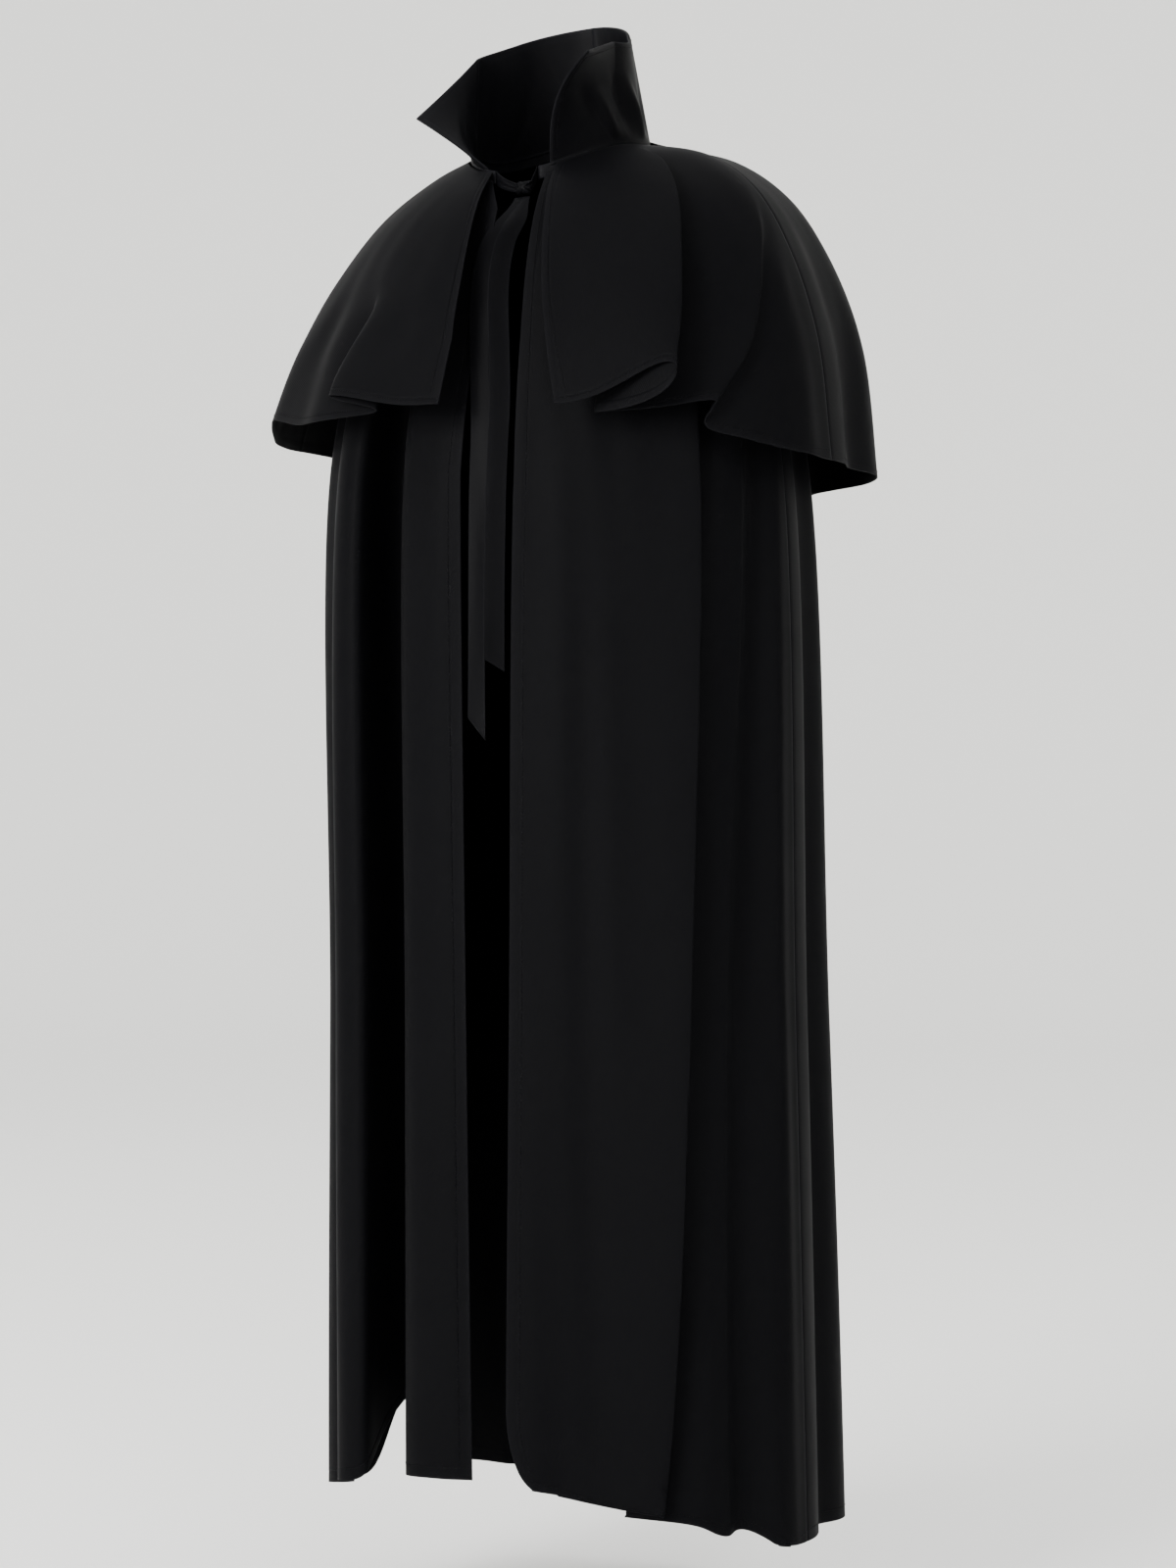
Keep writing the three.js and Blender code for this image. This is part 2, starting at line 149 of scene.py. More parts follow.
@dataclass(frozen=True)
class WovenFinish:
    """A woven cloth, drawn from its own thread grid, with slubs, creases and rubbed edges."""

    name: str
    colour: str
    worn: str               # colour where edges and stitch lines are rubbed
    roughness: float
    sheen: float
    specular: float
    thread_mm: float        # spacing of the drawn threads
    slant: float            # how many threads the twill line climbs for each across
    weave_depth_mm: float
    slub_mm: float          # length of the thick places in the yarn
    crease_depth_mm: float
    slub_threads: float = 2.2       # width of the thick places, in threads
    crease_mm: float = 55.0         # how far apart the soft creases lie
    dye_mm: float = 160.0           # size of the uneven places in the dye

    def build(self) -> bpy.types.Material:
        """Makes the material.

        Returns:
            A material that reads the piece's UV map, which is in metres of cloth, and its
            "rubbed" attribute.
        """
        material = bpy.data.materials.new(self.name)
        material.use_nodes = True
        tree = material.node_tree
        tree.nodes.clear()
        output = add_node(tree, "ShaderNodeOutputMaterial")
        uv = add_node(tree, "ShaderNodeUVMap", {"uv_map": "cloth"})
        rubbed = add_node(tree, "ShaderNodeAttribute", {"attribute_name": "rubbed"})
        threads = 1 / (self.thread_mm * MM)
        grid = add_node(tree, "ShaderNodeMapping",
                        {"vector_type": "POINT", 3: (threads, threads * self.slant, 1)},
                        {0: uv.outputs[0]})
        warp = add_node(tree, "ShaderNodeTexWave",
                        {"wave_type": "BANDS", "bands_direction": "DIAGONAL", "Scale": 0.32,
                         "Distortion": 0.6, "Detail": 1.0, "Detail Scale": 0.7},
                        {0: grid.outputs[0]})
        slub_grid = add_node(tree, "ShaderNodeMapping",
                             {"vector_type": "POINT",
                              3: (threads / self.slub_threads, 1 / (self.slub_mm * MM), 1)},
                             {0: uv.outputs[0]})
        slubs = add_node(tree, "ShaderNodeTexNoise", {"Scale": 1.0, "Detail": 2.0},
                         {0: slub_grid.outputs[0]})
        crease = add_node(tree, "ShaderNodeTexNoise",
                          {"Scale": 1 / (self.crease_mm * MM), "Detail": 3.0,
                           "Roughness": 0.45},
                          {0: uv.outputs[0]})
        dye = add_node(tree, "ShaderNodeTexNoise",
                       {"Scale": 1 / (self.dye_mm * MM), "Detail": 4.0}, {0: uv.outputs[0]})
        relief = add_node(tree, "ShaderNodeMath", {"operation": "MULTIPLY_ADD", 1: 0.35},
                          {0: slubs.outputs[0], 2: warp.outputs[1]})
        fine = add_node(tree, "ShaderNodeBump",
                        {"Strength": 0.55, "Distance": self.weave_depth_mm * MM},
                        {"Height": relief.outputs[0]})
        coarse = add_node(tree, "ShaderNodeBump",
                          {"Strength": 0.5, "Distance": self.crease_depth_mm * MM},
                          {"Height": crease.outputs[0], "Normal": fine.outputs[0]})
        fade = add_node(tree, "ShaderNodeMath",
                        {"operation": "MULTIPLY_ADD", "use_clamp": True, 1: 0.22, 2: -0.06},
                        {0: dye.outputs[0]})
        worn = add_node(tree, "ShaderNodeMath",
                        {"operation": "MULTIPLY_ADD", "use_clamp": True, 1: 0.55},
                        {0: rubbed.outputs["Fac"], 2: fade.outputs[0]})
        slub_tone = add_node(tree, "ShaderNodeMath",
                             {"operation": "MULTIPLY_ADD", "use_clamp": True, 1: 0.30},
                             {0: slubs.outputs[0], 2: worn.outputs[0]})
        tone = add_node(tree, "ShaderNodeMix",
                        {"data_type": "RGBA", 6: linear(self.colour), 7: linear(self.worn)},
                        {0: slub_tone.outputs[0]})
        dull = add_node(tree, "ShaderNodeMapRange",
                        {3: self.roughness - 0.07, 4: self.roughness + 0.07},
                        {0: dye.outputs[0]})
        cloth = add_node(tree, "ShaderNodeBsdfPrincipled",
                         {"Specular IOR Level": self.specular, "Sheen Weight": self.sheen,
                          "Sheen Roughness": 0.45, "Sheen Tint": linear("c9ccd6"), "IOR": 1.46},
                         {"Base Color": tone.outputs[2], "Roughness": dull.outputs[0],
                          "Normal": coarse.outputs[0]})
        tree.links.new(cloth.outputs[0], output.inputs[0])
        return material


# Black polyester crepe-back cloth, plain woven and piece dyed: dull, with a soft bloom where
# the light grazes it. Real threads are 0.3 mm apart, too fine to show, so they are drawn 1.5.
CREPE = WovenFinish("black_polyester_crepe", colour="040405", worn="0c0c0e", roughness=0.56,
                    sheen=0.003, specular=0.022, thread_mm=1.5, slant=1.0, weave_depth_mm=0.10,
                    slub_mm=14.0, crease_depth_mm=0.9)
# The collar's shell is the same cloth fused to interfacing: flatter, a little shinier.
FUSED = WovenFinish("black_fused_crepe", colour="040405", worn="0c0c0e", roughness=0.50,
                    sheen=0.003, specular=0.024, thread_mm=1.5, slant=1.0, weave_depth_mm=0.08,
                    slub_mm=14.0, crease_depth_mm=0.45)
# The collar's facing shows the crepe's smoother, glossier satin side; its colour and worn colour are
# also painted lighter than the crepe's, as painted light in the shaded inside of the collar.
FACING = WovenFinish("black_crepe_satin_side", colour="060607", worn="101013", roughness=0.47,
                     sheen=0.004, specular=0.034, thread_mm=1.5, slant=1.0,
                     weave_depth_mm=0.07, slub_mm=14.0, crease_depth_mm=0.45)
# Double-faced satin ribbon, woven with floats along its length, so it has a long soft gloss.
RIBBON = WovenFinish("black_satin_ribbon", colour="040405", worn="0b0b0d", roughness=0.44,
                     sheen=0.003, specular=0.026, thread_mm=1.1, slant=0.12,
                     weave_depth_mm=0.05, slub_mm=30.0, crease_depth_mm=0.35)
# Non-woven interfacing: pressed fibres, matt and slightly grey.
INTERFACING = WovenFinish("black_nonwoven_interfacing", colour="09090a", worn="101012",
                          roughness=0.85, sheen=0.005, specular=0.03, thread_mm=2.4, slant=0.6,
                          weave_depth_mm=0.12, slub_mm=3.0, crease_depth_mm=0.3)
# Spun polyester sewing thread, with a waxed shine.
THREAD = WovenFinish("black_polyester_thread", colour="050506", worn="0e0e10", roughness=0.45,
                     sheen=0.003, specular=0.03, thread_mm=0.35, slant=2.0,
                     weave_depth_mm=0.05, slub_mm=4.0, crease_depth_mm=0.0)


@dataclass(frozen=True)
class PaperFinish:
    """The matt white paper of the studio's sweep."""

    name: str
    colour: str
    roughness: float

    def build(self) -> bpy.types.Material:
        """Makes the material.

        Returns:
            A matt material with a faint grain in Object coordinates.
        """
        material = bpy.data.materials.new(self.name)
        material.use_nodes = True
        tree = material.node_tree
        paper = tree.nodes["Principled BSDF"]
        paper.inputs["Base Color"].default_value = linear(self.colour)
        paper.inputs["Roughness"].default_value = self.roughness
        place = add_node(tree, "ShaderNodeTexCoord")
        grain = add_node(tree, "ShaderNodeTexNoise", {"Scale": 900.0}, {0: place.outputs["Object"]})
        bump = add_node(tree, "ShaderNodeBump", {"Strength": 0.05, "Distance": 0.1 * MM},
                        {"Height": grain.outputs[0]})
        tree.links.new(bump.outputs[0], paper.inputs["Normal"])
        return material


# ------------------------------------------------------------------ drape


@dataclass(frozen=True)
class Profile:
    """A smooth line from the neck to a hem, through rings of [distance out, height] in mm."""

    rings: tuple[tuple[float, float], ...]

    @property
    def last(self) -> int:
        """The hem's ring number."""
        return len(self.rings) - 1

    def at(self, ring: Array) -> tuple[Array, Array]:
        """Gives the distance out and the height at any ring number.

        Args:
            ring: ring numbers, from 0 at the neck.

        Returns:
            Distances and heights in metres.
        """
        points = np.array(self.rings, float) * MM
        before = np.vstack([2 * points[:1] - points[1:2], points, 2 * points[-1:] - points[-2:-1]])
        ring = np.clip(ring, 0, self.last)
        index = np.minimum(ring.astype(int), self.last - 1)
        share = (ring - index)[..., None]
        p0, p1, p2, p3 = (before[index + k] for k in range(4))
        d0, d1, d2 = (np.sqrt(np.linalg.norm(b - a, axis=-1, keepdims=True))
                      for a, b in ((p0, p1), (p1, p2), (p2, p3)))
        t1 = ((p1 - p0) / d0 - (p2 - p0) / (d0 + d1) + (p2 - p1) / d1) * d1
        t2 = ((p2 - p1) / d1 - (p3 - p1) / (d1 + d2) + (p3 - p2) / d2) * d1
        place = (p1 + t1 * share + (-3 * p1 + 3 * p2 - 2 * t1 - t2) * share ** 2
                 + (2 * p1 - 2 * p2 + t1 + t2) * share ** 3)
        return place[..., 0], place[..., 1]


@dataclass(frozen=True)
class Fold:
    """One fold of hanging cloth, which runs from a ring near the shoulders to the hem.

    Azimuths and widths are in degrees and depths in mm. ridge stands the cloth out, step
    stands out the side with the greater azimuth and draws in the other, gather pinches the
    fold's foot (or doubles the cloth under itself if negative), lean carries the fold round
    the body in degrees, and lift raises the hem.
    """

    top: float
    hem: float
    half: float
    ridge: float = 0.0
    step: float = 0.0
    gather: float = 0.0
    lean: float = 0.0
    lift: float = 0.0
    start: float = 1.5
    bend: float = 1.0       # above 1, the fold swings to its hem azimuth early
    growth: float = 1.0     # below 1, the fold is deep from high up


@dataclass
class HungLayer:
    """A layer of cloth that hangs round the neck axis in folds."""

    left: Profile
    right: Profile
    front: Profile
    back: Profile
    folds: Sequence[Fold]
    fullness: float = 0.0
    ripple_mm: float = 1.0
    lift_rings: float = 1.2     # how many rings above the hem a lift reaches

    @property
    def last(self) -> int:
        """The hem's ring number."""
        return self.left.last

    def reach(self, side: Side, ring: Array) -> Array:
        """Gives how far the layer's side stands from the axis, in metres."""
        return (self.left if side is Side.LEFT else self.right).at(ring)[0]

    def azimuth_at(self, side: Side, ring: Array, distance_mm: Array) -> Array:
        """Gives the azimuth at which the layer is a distance from the centre line."""
        return np.degrees(np.arcsin(distance_mm * MM / self.reach(side, ring)))

    def fold_field(self, azimuth: Array, ring: Array) -> tuple[Array, Array, Array]:
        """Adds up what every fold does.

        Args:
            azimuth: azimuths of the unfolded cloth.
            ring: ring numbers.

        Returns:
            The shift in azimuth in degrees, the move outwards in metres, and the lift in metres.
        """
        shift, out, lift = np.zeros_like(azimuth), np.zeros_like(azimuth), np.zeros_like(azimuth)
        for fold in self.folds:
            share = np.clip((ring - fold.start) / (self.last - fold.start), 0, 1)
            centre = fold.hem + (fold.top - fold.hem) * (1 - share) ** fold.bend
            grown = smooth(share ** fold.growth)
            away = ((azimuth - centre + 180) % 360 - 180) / fold.half
            bump = np.exp(-away * away)
            shift += grown * (fold.half * fold.gather * away + fold.lean) * bump
            out += grown * (fold.ridge * bump + fold.step * away * bump) * MM
            lift += grown * fold.lift * bump * MM
        return shift, out, lift * smooth((ring - self.last + self.lift_rings) / self.lift_rings)

    def place(self, azimuth: Array, ring: Array) -> Array:
        """Gives points of the layer.

        Args:
            azimuth: azimuths of the unfolded cloth.
            ring: ring numbers.

        Returns:
            An array of points in metres, with a last axis of 3.
        """
        sine, cosine = turn_out(azimuth)
        to_seam = np.abs((azimuth + 180) % 360 - 180) - 90
        calm = 1 - np.exp(-(to_seam / SEAM_CALM) ** 2)
        shift, out, lift = self.fold_field(azimuth, ring)
        ends = [np.hypot(*(a - b for a, b in zip(line.at(np.array(float(self.last))),
                                                 line.at(np.array(self.last - 1.0)))))
                for line in (self.left, self.front)]
        ring = ring - lift * calm / (sum(ends) / len(ends))
        moved_sine, moved_cosine = turn_out(azimuth + shift * calm)
        side_out = np.where(moved_sine >= 0, self.left.at(ring)[0], self.right.at(ring)[0])
        side_z = np.where(sine >= 0, self.left.at(ring)[1], self.right.at(ring)[1])
        end_out = np.where(moved_cosine >= 0, self.front.at(ring)[0], self.back.at(ring)[0])
        end_z = np.where(cosine >= 0, self.front.at(ring)[1], self.back.at(ring)[1])
        doubled = np.sin(2 * np.radians(azimuth))
        swell = np.where(cosine < 0, 1 + self.fullness * doubled ** 2, 1.0)
        x = side_out * moved_sine * swell
        y = -end_out * moved_cosine * swell
        z = side_z + (end_z - side_z) * cosine ** 2
        away = np.hypot(x, y)
        # two waves of different pitch keep the cloth between the folds from being smooth
        ripple = self.ripple_mm * MM * smooth(ring / self.last) * (
            np.sin(np.radians(azimuth) * 23 + ring * 0.9 + 2 * np.sin(ring * 1.7))
            + 0.6 * np.sin(np.radians(azimuth) * 37 - ring * 1.3))
        out = (out + ripple) * calm
        return np.stack([x + out * x / away, y + out * y / away, z], axis=-1)


# ------------------------------------------------------------------ sewing


@dataclass
class ClothPiece:
    """One cut piece of cloth: a fine closed sheet with folded hems and rubbed edges."""

    name: str
    finish: bpy.types.Material
    thickness: float = 0.5 * MM
    hem_width: float = 14 * MM
    hem_thickness: float = 0.6 * MM
    stitch_depth: float = 0.35 * MM
    hems: tuple[bool, bool, bool, bool] = (False, False, False, True)   # left, right, top, hem
    seam_depth: float = 0.7 * MM    # how far a sewn side edge turns in
    points: Array = field(default_factory=lambda: np.zeros((0, 0, 3)))

    def across(self) -> tuple[Array, Array]:
        """Measures the cloth from its own points.

        Returns:
            Distances along each row and down each column, in metres.
        """
        row = np.linalg.norm(np.diff(self.points, axis=1), axis=-1)
        column = np.linalg.norm(np.diff(self.points, axis=0), axis=-1)
        u = np.concatenate([np.zeros((len(row), 1)), np.cumsum(row, axis=1)], axis=1)
        v = np.concatenate([np.zeros((1, column.shape[1])), np.cumsum(column, axis=0)], axis=0)
        return u, v

    def normals(self) -> Array:
        """Gives the direction straight out of the sheet at each point."""
        along = np.gradient(self.points, axis=1)
        down = np.gradient(self.points, axis=0)
        normal = np.cross(down, along)
        return normal / np.maximum(np.linalg.norm(normal, axis=-1, keepdims=True), 1e-12)

    def hem_share(self, u: Array, v: Array) -> tuple[Array, Array]:
        """Says where the folded hems and their stitch lines lie.

        Args:
            u: distances along the rows.
            v: distances down the columns.

        Returns:
            1 on the doubled hem and 0 elsewhere, and 1 along the stitch line.
        """
        edges = [u, u[:, -1:] - u, v, v[-1:] - v]
        near = np.full(u.shape, 1.0)
        for asked, distance in zip(self.hems, edges):
            if asked:
                near = np.minimum(near, distance)
        doubled = smooth((self.hem_width - near) / (1.2 * MM))
        stitched = np.exp(-((near - self.hem_width + STITCH_INSET) / (0.9 * MM)) ** 2)
        return doubled, stitched

    def build(self) -> bpy.types.Object:
        """Makes the closed mesh, with its UV map in metres and its rubbed attribute.

        Returns:
            The new object, at the origin.
        """
        u, v = self.across()
        normal = self.normals()
        doubled, stitched = self.hem_share(u, v)
        turned = np.zeros_like(u)
        for hemmed, distance in zip(self.hems[:2], (u, u[:, -1:] - u)):
            if not hemmed:
                turned += self.seam_depth * np.exp(-(distance / (1.4 * MM)) ** 2)
        out = -self.stitch_depth * stitched - turned
        inner = (-self.thickness - self.hem_thickness * doubled
                 + self.stitch_depth * stitched - turned)
        outside = self.points + normal * out[..., None]
        inside = self.points + normal * inner[..., None]
        rows, columns = u.shape
        vertices = np.concatenate([outside.reshape(-1, 3), inside.reshape(-1, 3)])
        index = np.arange(rows * columns).reshape(rows, columns)
        under = index + rows * columns
        a, b, c, d = index[:-1, :-1], index[1:, :-1], index[1:, 1:], index[:-1, 1:]
        faces = [np.stack([a, b, c, d], -1).reshape(-1, 4),
                 np.stack([a, d, c, b], -1).reshape(-1, 4) + rows * columns]
        for first, second in ((index[0], under[0]), (under[-1], index[-1]),
                              (under[:, 0], index[:, 0]), (index[:, -1], under[:, -1])):
            faces.append(np.stack([first[:-1], first[1:], second[1:], second[:-1]], -1))
        quads = np.concatenate(faces)
        mesh = bpy.data.meshes.new(self.name)
        mesh.from_pydata(vertices.tolist(), [], quads.tolist())
        piece = bpy.data.objects.new(self.name, mesh)
        bpy.context.scene.collection.objects.link(piece)
        middle = u - (u[:, -1:] / 2)
        flat = np.tile(np.stack([middle, v], -1).reshape(-1, 2), (2, 1))
        layer = mesh.uv_layers.new(name="cloth")
        layer.data.foreach_set("uv", flat[quads.ravel()].ravel())
        edge = np.minimum(np.minimum(u, u[:, -1:] - u), np.minimum(v, v[-1:] - v))
        rubbed = np.exp(-edge / (3 * MM)) * 0.9 + 0.25 * stitched
        mark = mesh.attributes.new("rubbed", "FLOAT", "POINT")
        mark.data.foreach_set("value", np.tile(rubbed.ravel(), 2).astype(np.float32))
        mesh.polygons.foreach_set("use_smooth", np.ones(len(quads), bool))
        mesh.materials.append(self.finish)
        mesh.update()
        return piece

    def area(self) -> float:
        """Measures one face of the cloth, in square metres."""
        p = self.points
        diagonal = p[1:, 1:] - p[:-1, :-1]
        other = p[1:, :-1] - p[:-1, 1:]
        return float(np.linalg.norm(np.cross(diagonal, other), axis=-1).sum() / 2)

    def cut(self) -> tuple[float, float]:
        """Gives the rectangle that the piece is cut from, as (width, length)."""
        u, v = self.across()
        return float(u[:, -1].max()), float(v[-1].max())


@dataclass
class StitchRow:
    """A row of topstitching: one short thread after another along a line on the cloth."""

    name: str
    finish: bpy.types.Material
    pitch: float = 3.2 * MM
    length: float = 2.4 * MM
    radius: float = 0.32 * MM

    def build(self, line: Array, normal: Array) -> bpy.types.Object:
        """Makes the row.

        Args:
            line: points on the cloth's face.
            normal: the direction out of the cloth at each point.

        Returns:
            The stitches as one mesh.
        """
        steps = np.linalg.norm(np.diff(line, axis=0), axis=1)
        walked = np.concatenate([[0], np.cumsum(steps)])
        starts = np.arange(self.pitch, walked[-1] - self.pitch, self.pitch)
        vertices, faces = [], []
        around = 5
        # each thread's rings: how far along it each lies, and how high it stands
        shares = ((0.0, 0.25), (0.25, 0.95), (0.75, 0.95), (1.0, 0.25))
        for start in starts:
            base = len(vertices)
            for share, height in shares:
                at = start + share * self.length
                centre = np.array([np.interp(at, walked, line[:, k]) for k in range(3)])
                out = np.array([np.interp(at, walked, normal[:, k]) for k in range(3)])
                ahead = np.array([np.interp(at + self.length, walked, line[:, k])
                                  for k in range(3)]) - centre
                across = np.cross(ahead, out)
                across /= max(np.linalg.norm(across), 1e-12)
                lift = out * self.radius * (height - 0.5)
                slim = self.radius * (0.45 if share in (0.0, 1.0) else 1.0)
                for turn in range(around):
                    angle = 2 * math.pi * turn / around
                    vertices.append(centre + lift + slim * (math.cos(angle) * across
                                                            + math.sin(angle) * out))
            last = base + (len(shares) - 1) * around
            for ring in range(base, last, around):
                for turn in range(around):
                    a, b = ring + turn, ring + (turn + 1) % around
                    faces.append((a, b, b + around, a + around))
            faces.append(tuple(base + k for k in reversed(range(around))))
            faces.append(tuple(last + k for k in range(around)))
        mesh = bpy.data.meshes.new(self.name)
        mesh.from_pydata([tuple(p) for p in vertices], [], faces)
        mesh.uv_layers.new(name="cloth")
        mesh.polygons.foreach_set("use_smooth", np.ones(len(mesh.polygons), bool))
        mesh.materials.append(self.finish)
        shape = bmesh.new()
        shape.from_mesh(mesh)
        bmesh.ops.recalc_face_normals(shape, faces=shape.faces)
        shape.to_mesh(mesh)
        shape.free()
        piece = bpy.data.objects.new(self.name, mesh)
        bpy.context.scene.collection.objects.link(piece)
        return piece


@dataclass(frozen=True)
class Bend:
    """Where a piece would pass from one body to the next; applying it only bakes the piece's
    transform.
    """

    child: str
    start: tuple[float, float, float]
    end: tuple[float, float, float]
    parent: str = "cape"

    def apply(self, piece: bpy.types.Object) -> None:
        """Bakes the piece's transform into its mesh; nothing is blended between the two bodies."""
        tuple(self.start)
        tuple(self.end)
        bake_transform(piece)


def even_steps(layer: HungLayer, first: float, last: float, shares: Array) -> Array:
    """Turns shares of a hem's length into shares of its azimuth, so that folds stay fine.

    Args:
        layer: the layer that hangs.
        first: azimuth of the hem's start.
        last: azimuth of its end.
        shares: shares of the hem's own length.

    Returns:
        Shares of the way from first to last.
    """
    tries = np.linspace(0, 1, 4000)
    azimuth = first + (last - first) * tries
    above_hem = 0.3     # in rings: clear of the hem's lifts
    line = layer.place(azimuth, np.full_like(azimuth, layer.last - above_hem))
    walked = np.concatenate([[0], np.cumsum(np.linalg.norm(np.diff(line, axis=0), axis=1))])
    return np.interp(shares * walked[-1], walked, tries)


def dense_ends(count: int, fine: float, total: float, both: bool = True) -> Array:
    """Spreads shares from 0 to 1 with fine steps near the ends, where the hems are.

    Args:
        count: how many even steps lie between.
        fine: width of each finely stepped end, in metres.
        total: the whole width, in metres.
        both: whether the start is fine too.

    Returns:
        Increasing shares from 0 to 1.
    """
    steps = np.array([0, 0.08, 0.3, 0.55, 0.72, 0.8, 0.88, 1.0, 1.15]) * fine / total
    middle = np.linspace(steps[-1] if both else 0, 1 - steps[-1], count)
    parts = [steps[:-1], middle, 1 - steps[-2::-1]] if both else [middle, 1 - steps[-2::-1]]
    return np.concatenate(parts)


# ------------------------------------------------------------------ the cape's layers

NECK_RADIUS = 88 * MM
NECK_FRONT_Z = -34 * MM
NECK_BACK_Z = 30 * MM
START_MM = 92.0

BODY = HungLayer(
    left=Profile(((START_MM, -4), (138, -30), (178, -76), (210, -150), (246, -300), (263, -860),
                  (275, -1352))),
    right=Profile(((START_MM, -4), (138, -30), (178, -76), (210, -150), (247, -300), (245, -860),
                   (244, -1346))),
    front=Profile(((START_MM, -38), (112, -68), (132, -120), (150, -200), (164, -330),
                   (168, -860), (168, -1292))),
    back=Profile(((START_MM, 26), (124, 6), (150, -44), (176, -140), (202, -310), (228, -860),
                  (246, -1362))),
    folds=(
        # wearer's right, from the front edge round to the side
        Fold(-14, -12, 8, ridge=8, gather=0.3),
        Fold(-31.4, -28.4, 6, ridge=-88, gather=1.35, lean=-20, growth=0.75),
        Fold(-36, -34, 5.5, step=-3, gather=-2.0, growth=0.75),
        Fold(-33, -30, 5.0, lift=76),
        Fold(-45, -43, 5.5, ridge=16, gather=0.3, growth=0.6),
        Fold(-58, -54, 6, ridge=-14),
        Fold(-72, -70, 7, ridge=10),
        # wearer's left: one wide flat panel that doubles over a hidden fold, then three folds
        Fold(24, 27, 9, ridge=-9, start=4.3),
        Fold(16, 15, 8, ridge=4, start=3),
        Fold(64, 37.8, 6.0, step=-40, gather=-2.4, ridge=3, bend=0.75, growth=0.45),
        Fold(38, 30, 8, ridge=5, lift=-7, start=3),
        Fold(84, 47, 5.2, ridge=12, gather=0.4, bend=3.1, growth=0.5, lift=5, start=3.4),
        Fold(116, 67, 5.6, ridge=-15, gather=0.4, bend=2.5, growth=0.45, lift=10, start=2.5),
        Fold(88, 79, 7, ridge=5, growth=0.6, lift=-6),
        # the back
        Fold(104, 106, 7, ridge=-13), Fold(118, 119, 7, ridge=15, gather=0.3),
        Fold(131, 134, 6, ridge=-14), Fold(146, 148, 8, ridge=15, gather=0.4),
        Fold(160, 162, 6, ridge=-13), Fold(171, 173, 7, ridge=9),
        Fold(-105, -105, 7, ridge=-13, lift=76), Fold(-119, -121, 7, ridge=15, gather=0.4),
        Fold(-134, -136, 6, ridge=-15), Fold(-148, -151, 8, ridge=14, gather=0.3),
        Fold(-163, -166, 6, ridge=-12), Fold(-175, -177, 6, ridge=5),
    ),
    ripple_mm=0.9,
)

CAPELET = HungLayer(
    left=Profile(((START_MM, 3), (168, -14), (218, -50), (256, -112), (286, -200), (301, -318))),
    right=Profile(((START_MM, 3), (126, -12), (186, -50), (236, -108), (280, -180),
                   (318, -278))),
    front=Profile(((START_MM, -30), (122, -58), (150, -100), (175, -150), (195, -205),
                   (214, -268))),
    back=Profile(((START_MM, 34), (158, 18), (208, -20), (233, -85), (244, -190), (242, -336))),
    folds=(
        # the rolled flute that falls from the side of the neck to the left front
        Fold(71, 36.3, 8.6, ridge=8, step=-60, gather=-3.2, start=0, bend=1.9, growth=0.55),
        Fold(64, 29.5, 4.6, lift=50, start=0, bend=1.9),
        Fold(56, 47, 9, lift=15, start=2),
        Fold(24, 22, 8, ridge=-5, start=2),
        # a small flute behind it, and the flat stretch that hangs low over the arm
        Fold(90, 53.5, 4.2, ridge=5, step=-16, gather=-2.1, start=1.7, bend=1.1),
        Fold(87, 51.5, 3.4, lift=14, start=1.7, bend=1.1),
        Fold(80, 76, 8, ridge=5, start=1.0, lift=-4),
        # the right front, whose edge panel laps over the next fold
        Fold(-30, -22.8, 6.6, step=30, gather=-3.0, ridge=-3, start=2.3, growth=1.2),
        Fold(-24, -18, 6, lift=26, start=2.3),
        Fold(-10, -9, 6, ridge=4, start=2),
        Fold(-46, -44, 8, ridge=-8, start=1.5),
        Fold(-56, -58, 11, ridge=7, lift=16, start=1.5),
        # the back
        Fold(104, 106, 8, ridge=-8), Fold(122, 124, 9, ridge=12, gather=0.6),
        Fold(141, 143, 8, ridge=-11), Fold(158, 160, 9, ridge=12, gather=0.5),
        Fold(178, 179, 9, ridge=-11), Fold(-163, -164, 9, ridge=12, gather=0.5),
        Fold(-145, -146, 8, ridge=-10), Fold(-126, -127, 9, ridge=12, gather=0.7),
        Fold(-106, -107, 8, ridge=-8),
    ),
    fullness=0.08,
    ripple_mm=0.5,
)


